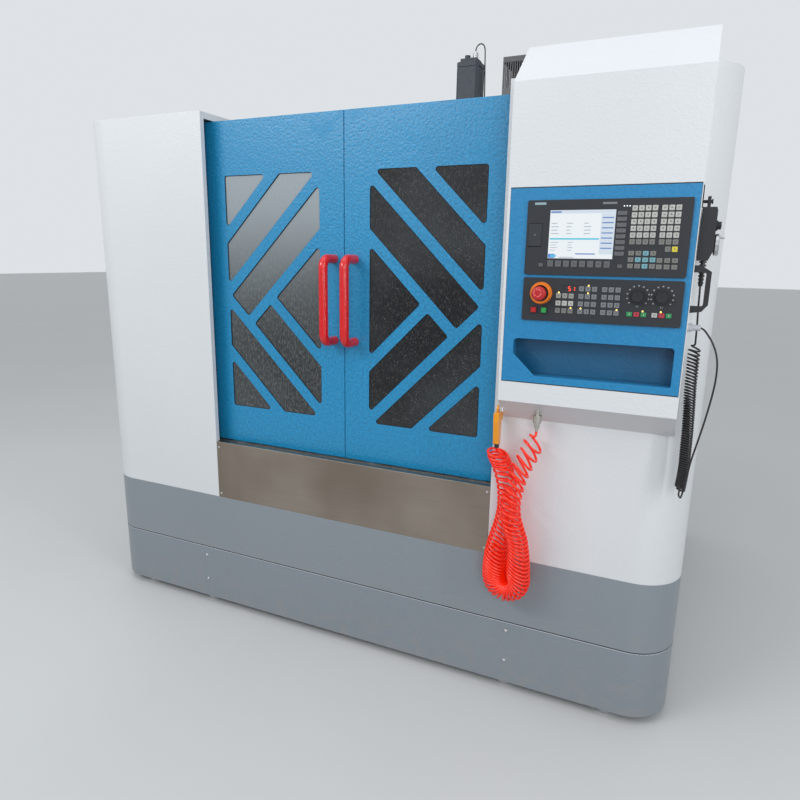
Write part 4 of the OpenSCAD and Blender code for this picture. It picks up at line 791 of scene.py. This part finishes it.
LIGHT, GREY, DARK, MID = ink(196, 197, 192), ink(126, 126, 122), ink(98, 100, 104), ink(158, 158, 152)
COOL, BLUE_KEY, YELLOW_KEY = ink(122, 127, 132), ink(120, 178, 190), ink(232, 214, 70)
RED_KEY, GREEN_KEY = ink(196, 48, 62), ink(36, 150, 84)

# %% Blocks of keys
unit_x, unit_z, desk_z = unit_low.x, unit_low.z, desk_low.z

def above_foot(i, k):
    "Pale keys over a grey bottom row."
    return LIGHT if k else GREY

def arrow_keys(i, k):
    "Blue keys in the shape of a turned T among grey ones."
    return BLUE_KEY if i == 2 or (k == 1 and i > 0) else GREY

# foot of the unit or desk, lower left corner, columns and rows, spacing, key's size, colours
key_blocks = [
    (unit_z, 274.3, 83.3, 4, 6, 16.35, 17, 13.4, 13.4, above_foot),
    (unit_z, 346.3, 83.3, 3, 6, 16.5, 17, 13.4, 13.4, above_foot),
    (unit_z, 362.8, 65.3, 2, 1, 16.5, 17, 13.4, 13.4, lambda i, k: (GREY, YELLOW_KEY)[i]),
    (unit_z, 274.5, 22, 4, 3, 18, 16.5, 14, 12, arrow_keys),
    (unit_z, 345.5, 21, 3, 2, 18.5, 16.5, 14, 12, GREY),
    (unit_z, 239, 54, 1, 8, 15, 14.8, 24, 10.5, DARK),
    (unit_z, 64, 22.2, 8, 1, 21.5, 15, 15.5, 17, DARK),
    (unit_z, 40, 22, 2, 1, 210, 15, 11, 9, DARK),
    (desk_z, 94, 24, 3, 3, 17.3, 20.5, 13.6, 13.5, lambda i, k: (GREY, LIGHT, MID)[k]),
    (desk_z, 155, 24, 3, 4, 17.3, 20.5, 13.6, 13.5, COOL),
    (desk_z, 216, 24, 3, 4, 17.3, 20.5, 13.6, 13.5, COOL),
    (desk_z, 284, 24, 3, 1, 18, 20, 14, 12, lambda i, k: (GREEN_KEY, RED_KEY, GREEN_KEY)[i]),
    (desk_z, 347, 24, 3, 1, 17.5, 20, 14, 12, lambda i, k: (LIGHT, RED_KEY, GREEN_KEY)[i])]
keys = [(unit_x + x + i * step_x + w / 2, foot + z + k * step_z + h / 2, w, h,
         colour(i, k) if callable(colour) else colour)
    for foot, x, z, columns, rows, step_x, step_z, w, h, colour in key_blocks
    for i in range(columns) for k in range(rows)]

key_finish = Finish("key_plastic", coat_roughness=0.2)
thumbed = key_finish.grain(0.01, 3.0)
key_finish.set("Base Color", key_finish.blend(thumbed * 0.35, key_finish.tint(), ink(70, 72, 74)))
key_finish.set("Roughness", thumbed * 0.2 + 0.35)
key_finish.relief(key_finish.grain(0.001, 1.0), 0.0001)

FACE, CAP_HEIGHT = unit_low.y, 2.2
places = [(at(x, FACE, z), FRONT, (w, h, CAP_HEIGHT), colour) for x, z, w, h, colour in keys]
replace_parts(repeat("key_caps", places, key_cap, key_finish), "panel_keys")

# %% Signs on the keys, as plain strokes
printed = Finish("printed_sign")
rubbed = printed.grain(0.004)
printed.set("Base Color", printed.blend(rubbed * 0.25, printed.tint(), ink(120, 122, 124)))
printed.set("Roughness", rubbed * 0.2 + 0.4)

def block(form):
    bmesh.ops.create_cube(form, size=1.0)

stroke = pattern("stroke", block)
signs = []
for n, (x, z, w, h, colour) in enumerate(keys):
    if w > 20:
        continue  # the wide keys beside the screen are bare
    tone = ink(44, 46, 48) if colour[0] > 0.12 else ink(200, 202, 204)
    kind = (n * 7 + int(x)) % 5
    strokes = [(0, 0.8 if kind else 0, 1.6, 4.2) if kind % 2 else (0, 0.8 if kind else 0, 4.6, 1.3)]
    if kind in (1, 3):
        strokes.append((1.8, -0.6, 1.2, 1.8))
    elif kind:
        strokes.append((-0.8, -2.2, 2.8, 0.9))
    signs += [(at(x + right, FACE - 2.0, z + up), FRONT, (wide, high, 0.2), tone)
        for right, up, wide, high in strokes]
repeat("key_signs", signs, stroke, printed)

# %% [markdown]
# ## Lamps and the readout
# Small yellow lamps sit above some of the keys, three pale ones at the display's corner,
# and a red readout shows two plain digits. They glow, so their finish is an emission as
# well as a colour. The digits are made of the seven bars that such readouts have.

# %% Lamps
glow = Finish("lamp_glow")
lamp_colour = glow.tint()
glow.set("Base Color", lamp_colour).set("Emission Color", lamp_colour)
glow.set("Emission Strength", 1.6).set("Roughness", 0.3)
lens = pattern("lamp_lens", lathe([(0, 0), (0.5, 0), (0.48, 0.5), (0.3, 0.85), (0, 1)], 12))
AMBER, PALE, RED_LIGHT = ink(255, 214, 110), ink(214, 226, 232), ink(255, 70, 40)
spots = [(101, 80.5), (180, 101.5), (180, 81), (136, 39), (163, 39), (258, 39), (324, 39), (369, 39)]
places = [(at(unit_x + x, FACE, desk_z + z), FRONT, (4.5, 4.5, 1.6), AMBER) for x, z in spots]
places += [(at(unit_x + 254 + 7 * k, FACE, unit_z + 181), FRONT, (3, 3, 1), PALE) for k in range(3)]
repeat("panel_lamps", places, lens, glow)

# %% Readout of seven-bar digits
LEVEL, UPRIGHT = (4.6, 1.7, 0.4), (1.7, 4.4, 0.4)
FIVE = [(0, 5.4, LEVEL), (-3, 2.7, UPRIGHT), (0, 0, LEVEL), (3, -2.7, UPRIGHT), (0, -5.4, LEVEL)]
ONE = [(3, 2.7, UPRIGHT), (3, -2.7, UPRIGHT)]
digits = [(at(unit_x + place + right, FACE + 0.9, desk_z + 91.8 + up), FRONT, size, RED_LIGHT)
    for place, figure in ((129, FIVE), (140, ONE)) for right, up, size in figure]
repeat("readout_digits", digits, stroke, glow)

# %% [markdown]
# ## Scales, arrows and bare plates
# A dial needs a scale, so a ring of small pale marks stands round each of the two, open at
# the foot. The emergency stop shows three curved arrows that say which way it unlocks. Two
# plates and a small square on the display are left bare.

# %% Marks round the dials, and the plates
def mark(x, z, wide, high, thick, *tone):
    "A flat printed mark on the display or the desk."
    return at(unit_x + x, FACE - 0.1, z), FRONT, (wide, high, thick), ink(*tone)

SCALE_RADIUS, SCALE_START, SCALE_STEP = 27.5, -130, 26
marks = []
for x in (309, 369):
    for k in range(11):
        up, out = polar(SCALE_RADIUS, SCALE_START + SCALE_STEP * k)
        marks.append(mark(x + out, desk_z + 78 + up, 3.4, 3.4, 0.3, 168, 172, 176))
    marks += [mark(x + k, desk_z + 51, 1.2, 5.2, 0.3, 150, 154, 158) for k in (-2, 2)]
marks += [mark(35, unit_z + 190.6, 31, 6.2, 0.4, 150, 176, 184),
    mark(217.5, unit_z + 189, 36, 5.2, 0.4, 122, 126, 132),
    mark(24.5, unit_z + 108, 4, 4, 0.4, 110, 114, 120)]
repeat("dial_marks", marks, stroke, printed)

# %% Three arrows on the stop
stop_top = box_mm("estop_button")[0].y

def arrows(form):
    "Three curved bars with a pointed head each, laid on the button's face."
    def spot(radius, degrees):
        x, z = polar(radius, degrees)
        return form.verts.new(at(unit_x + 50 + x, stop_top - 0.25, desk_z + 79 + z))
    for start in (20, 140, 260):
        ring = [[spot(r, start + 8.2 * k) for r in (8.6, 11.4)] for k in range(11)]
        for p, q in zip(ring, ring[1:]):
            form.faces.new((p[0], q[0], q[1], p[1]))
        form.faces.new([spot(r, start + turn) for r, turn in ((13.6, 82), (6.6, 82), (10.2, 106))])

arrow_paint = Finish("arrow_paint")
faded = arrow_paint.grain(0.004, 3.0)
arrow_paint.set("Base Color", arrow_paint.blend(faded, ink(236, 120, 116), ink(226, 92, 90)))
arrow_paint.set("Roughness", faded * 0.2 + 0.35)
stop_arrows = claim(shown("stop_arrows", built("stop_arrows", arrows), arrow_paint),
    "estop_button")
print("stop arrows:", len(stop_arrows.data.polygons), "faces")

# %% [markdown]
# ## The picture on the screen
# The control shows a pale page with a header, a table, soft-key names at the right and a
# cyan line across it. Only plain bars are drawn here, with nothing to read. The page is
# one sheet of rectangles with a colour for each, and it glows like a real screen.

# %% Screen page
glass_low, glass_high = box_mm("screen")

def page():
    "Rectangles as two corners in millimetres and a colour; a later one lies on the earlier."
    W, H = glass_high.x - glass_low.x, glass_high.z - glass_low.z
    white, pale, grey = ink(240, 246, 250), ink(214, 226, 238), ink(168, 180, 194)
    cyan, blue = ink(70, 200, 226), ink(92, 132, 196)
    yield 0, 0, W, H, white
    yield 0, H - 9, W, H, pale
    yield 2, H - 7, 30, H - 3, blue
    yield W - 36, 12, W, H - 10, pale
    for k in range(7):
        yield W - 33, H - 22 - k * 13.2, W - 4, H - 19 - k * 13.2, blue
    yield 3, 50, W - 38, 54, cyan
    for k in range(4):
        low = 92 - k * 9
        for x0, x1 in ((5, 20 + (k * 5) % 9), (46, 62 - (k * 3) % 7), (92, 104 + (k * 7) % 8)):
            yield x0, low, x1, low + 2, grey
    for k in range(4):
        low = 42 - k * 7
        for x0, x1 in ((5, 26 - (k * 5) % 8), (52, 66 - (k * 3) % 6)):
            yield x0, low, x1, low + 1.6, grey
    yield 74, 11, 126, 14, blue
    yield 1, 1, 18, 12, ink(70, 130, 214)
    yield 6, 3, 22, 10, ink(90, 190, 230)
    yield 30, 2, 70, 4, grey

picture = bpy.data.meshes.new("screen_page")
corners, faces, tones = [], [], []
for layer, (x0, z0, x1, z1, tone) in enumerate(page()):
    faces.append([len(corners) + k for k in range(4)])
    corners += [at(glass_low.x + x, glass_low.y - 0.05 - 0.02 * layer, glass_low.z + z)
        for x, z in ((x0, z0), (x1, z0), (x1, z1), (x0, z1))]
    tones += tone * 4
picture.from_pydata(corners, [], faces)
picture.attributes.new("tint", "FLOAT_COLOR", "POINT").data.foreach_set("color", tones)
lit = Finish("screen_light", coat_roughness=0.12)
finger = lit.grain(0.02, 3.0)
lit.set("Base Color", ink(20, 22, 26)).set("Emission Color", lit.tint()).set("Emission Strength", 0.92)
lit.set("Roughness", finger * 0.15 + 0.12).set("Coat Weight", 0.4 - finger * 0.1)
claim(shown("screen_page", picture, lit), "frame")
print("screen page of", len(faces), "rectangles")

# %% [markdown]
# ## Screws
# The sheets are held by button-head screws with a hexagon recess. They are turned shapes
# with a six-sided hole, all the same, so the tree repeats one of them. Bigger heads hold
# the skirts, and smaller ones the sill.

# %% Button heads
SIDES = 18

def button_head(form):
    "Head of unit diameter, facing +Z, with a hexagon recess."
    def ring(radius, z, hexagon=False):
        out = []
        for k in range(SIDES):
            degrees = 360 * k / SIDES
            off_corner = math.radians(degrees % 60 - 30)
            share = math.cos(math.radians(30)) / math.cos(off_corner) if hexagon else 1
            out.append(form.verts.new((*polar(radius * share, degrees), z)))
        return out
    dome = [ring(r, z) for r, z in ((0.5, 0), (0.5, 0.05), (0.46, 0.16), (0.36, 0.24), (0.24, 0.27))]
    skin(form, dome + [ring(r, z, hexagon=True) for r, z in ((0.19, 0.27), (0.18, 0.1))], ends=True)

LEFT, RIGHT, BEHIND = Vector((-1, 0, 0)), Vector((1, 0, 0)), Vector((0, 1, 0))
BIG, SMALL = (13, 13, 13), (9, 9, 9)
SIDE_FACE, BACK_FACE = 1175, 1720

def screws(facing, size, places):
    return [(at(*place), facing, size, WHITE) for place in places]

heads = screws(FRONT, BIG, [(x, 0, z) for x, z in ((-637, 219), (-636, 110), (656, 226), (656, 112))])
heads += screws(FRONT, SMALL, [(x, 0, z) for x, z in ((-543, 708), (-542, 513), (568, 711), (567, 513))])
for facing in (LEFT, RIGHT):
    heads += screws(facing, BIG, [(facing.x * SIDE_FACE, y, z)
        for y in (250, 700, 1150, 1600) for z in (110, 219)])
heads += screws(BEHIND, BIG, [(x, BACK_FACE, z) for x in (-900, -300, 300, 900) for z in (110, 219, 400)])
repeat("sheet_screws", heads, pattern("button_head", button_head), turned_steel)

# %% [markdown]
# ## Vents of the electrical cabinet
# The drives in the cabinet get warm, so its door carries two filter fans: square moulded
# frames with slanted slats. The frame is the key cap's form in a big size, and the slats
# are thin bars from the same tree. Both ride on the door and swing with it.

# %% Filter frames and slats
cab_low, cab_high = box_mm("cabinet_door")
vent_x, pale_grey = (cab_low.x + cab_high.x) / 2, ink(186, 188, 186)
frames, slats = [], []
for z in (cab_low.z + 210, cab_high.z - 230):
    frames += [(at(vent_x, cab_high.y, z), BEHIND, (215, 215, 10), pale_grey),
        (at(vent_x, cab_high.y + 7.6, z), BEHIND, (168, 168, 2.4), ink(52, 54, 56))]
    slats += [(at(vent_x, cab_high.y + 10.2, z - 66 + 12 * k), BEHIND, (158, 7.2, 2.6), pale_grey)
        for k in range(12)]
repeat("vent_frames", frames, key_cap, key_finish, body_of["cabinet_door"])
repeat("vent_slats", slats, stroke, printed, body_of["cabinet_door"])

# %% [markdown]
# ## Dark gaps between sheets
# Where two sheets meet, a gap of a millimetre or two stays, and its shadow draws a dark
# line: between the two skirts, and along the fascia in its frame. The solids touch there,
# so a dark strip of painted shadow is laid over each joint. One strip follows the outline of
# the skirts, with its rounded front corners, and the two on the fascia are straight. A pale
# strip just under the skirts' joint is a painted highlight on the lower one's top edge.

# %% Joint strips
def strip(name, outline, low, high, proud, finish):
    "A low strip along an outline of (x, y) points; the outline runs with the air at its right."
    def build(form):
        rings = []
        for i, p in enumerate(outline):
            ahead = Vector(outline[min(i + 1, len(outline) - 1)]) - Vector(outline[max(i - 1, 0)])
            out = Vector((ahead.y, -ahead.x)).normalized()
            near, far = Vector(p) - out, Vector(p) + out * proud
            section = (near, low), (far, low), (far, high), (near, high)
            rings.append([form.verts.new(at(*q, z)) for q, z in section])
        skin(form, rings, ends=True)
    claim(shown(name, built(name, build), finish), "frame")

skirt_high = box_mm("lower_skirt")[1]
CORNER, SEAM = 140, skirt_high.z
around = [(-SIDE_FACE, skirt_high.y)]
for side, start in ((-1, 180), (1, 270)):
    for k in range(13):
        x, y = polar(CORNER, start + 7.5 * k)
        around.append((side * (SIDE_FACE - CORNER) + x, CORNER + y))
around.append((SIDE_FACE, skirt_high.y))
# Painted shadow: a dark strip over the skirts' joint.
strip("skirt_joint", around, SEAM - 1.8, SEAM + 1.8, 0.25, seal_rubber)
# Painted highlight: a pale strip on the lower skirt's top edge, just under the joint.
strip("skirt_edge", around, SEAM - 3.8, SEAM - 1.8, 0.2, highlight_edge_finish)
rim_low, rim_high = box_mm("control_fascia")
# Painted shadow: dark strips along the fascia's top and foot.
for name, height in (("top", rim_high.z + 0.6), ("foot", rim_low.z - 0.6)):
    strip("fascia_joint_" + name, [(rim_low.x, rim_low.y), (rim_high.x, rim_low.y)],
        height - 1.3, height + 1.3, 0.3, seal_rubber)
print("joint strips from", round(skirt_high.y), "mm round the front, and at the fascia's top and foot")

# %% [markdown]
# ## Plugs on the head's motor
# The motor on the column has a dark plug and a bright metal one. A thin cable leaves the
# bright plug upwards, bends over in a small loop, and runs down behind the motor to the column.

# %% Bright plug and its cable
servo_top = box_mm("axis_servos")[1].z
plug_x, plug_y = 22.8, box_mm("resistor_box")[0].y
plug = built("motor_plug", lathe([(0.0134, 0), (0.0134, 0.008), (0.0126, 0.0085), (0.0126, 0.013),
    (0.0136, 0.0135), (0.0136, 0.026), (0.0112, 0.0295), (0.006, 0.0305), (0.006, 0.036), (0, 0.036)], 24))
plug.transform(Matrix.Translation(at(plug_x, plug_y, servo_top - 27)))
smooth(plug)
claim(shown("motor_plug", plug, turned_steel), "frame")
lead_route = [at(plug_x + x, plug_y + y, servo_top + z) for x, y, z in (
    (0, 0, 8), (0, 0, 14), (1, 0, 20), (6, 2, 32), (16, 4, 41), (28, 6, 42), (38, 8, 34),
    (43, 10, 20), (44, 12, 0), (44, 16, -40), (44, 22, -90), (44, 28, -150), (44, 32, -220),
    (44, 34, -290), (44, 34, -350), (44, 34, -395), (44, 34, -404))]
motor_lead = line("motor_lead", smooth_route(lead_route, 5), 0.006, "cable_rubber",
    far_end="object", stiffness="limp")
motor_lead.data.materials.append(lead_green.mat)

# %% [markdown]
# ## Floor, walls of light and lamps
# A plain pale floor carries the machine and keeps its shadow. The sky is a soft white
# for the light on the object, and a pale grey where the camera or a reflection sees it.
# One wide lamp overhead stands for the roof lights of a workshop. A large lamp at the front
# right fills the doors from where the dark panes don't mirror it. A high panel at the left
# puts the pale sheen on the upper doors, and a long strip at the right draws the bright
# line down the corner.

# %% Stage
floor_mesh = bpy.data.meshes.new("floor")
floor_mesh.from_pydata([(-40, -40, 0), (40, -40, 0), (40, 40, 0), (-40, 40, 0)], [], [(0, 1, 2, 3)])
floor_finish = Finish("pale_floor")
worn = floor_finish.grain(0.8, 4.0)
rays = floor_finish.node("ShaderNodeLightPath")
direct = Grade(floor_finish, rays.outputs["Is Camera Ray"]).work("MAXIMUM", rays.outputs["Is Glossy Ray"])
pale = floor_finish.blend(worn, ink(196, 198, 198), ink(208, 210, 210))
floor_finish.set("Base Color", floor_finish.blend(direct, ink(142, 142, 142), pale))
floor_finish.set("Roughness", worn * 0.15 + 0.45)
shown("floor", floor_mesh, floor_finish)

world = bpy.data.worlds.new("soft_room")
bpy.context.scene.world = world
world.use_nodes = True
tree = world.node_tree
lights, seen = tree.nodes["Background"], tree.nodes.new("ShaderNodeBackground")
for sky, colour, strength in ((lights, ink(236, 240, 245), 0.67), (seen, ink(222, 226, 230), 1.0)):
    sky.inputs["Color"].default_value, sky.inputs["Strength"].default_value = colour, strength
rays, mix = tree.nodes.new("ShaderNodeLightPath"), tree.nodes.new("ShaderNodeMixShader")
share = rays.outputs["Is Camera Ray"]
for ray in ("Is Glossy Ray", "Is Transmission Ray"):
    either = tree.nodes.new("ShaderNodeMath")
    either.operation = "MAXIMUM"
    tree.links.new(share, either.inputs[0])
    tree.links.new(rays.outputs[ray], either.inputs[1])
    share = either.outputs[0]
for source, socket in ((share, mix.inputs[0]), (lights.outputs[0], mix.inputs[1]),
        (seen.outputs[0], mix.inputs[2]), (mix.outputs[0], tree.nodes["World Output"].inputs["Surface"])):
    tree.links.new(source, socket)

def lamp(name, place, aim, width, height, watts):
    "A soft rectangular lamp, turned to a point."
    light = bpy.data.lights.new(name, "AREA")
    light.shape, light.size, light.size_y, light.energy = "RECTANGLE", width, height, watts
    body = shown(name, light)
    body.location = place
    body.rotation_euler = (Vector(aim) - Vector(place)).to_track_quat("-Z", "Y").to_euler()

lamp("roof_lights", (-0.6, -1.6, 5.4), (0, 0, 0.8), 5.0, 3.0, 48)
lamp("front_fill", (2.8, -5.1, 2.4), (-0.2, 0, 1.0), 1.6, 2.5, 56)
lamp("high_panel", (-2.1, -3.9, 3.4), (-0.2, -0.7, 1.6), 2.4, 1.0, 66)
lamp("corner_strip", (3.6, -2.2, 2.2), (1.0, -0.6, 1.2), 0.25, 3.0, 26)
bpy.context.scene.view_settings.view_transform = "Standard"
print("stage and lamps set")
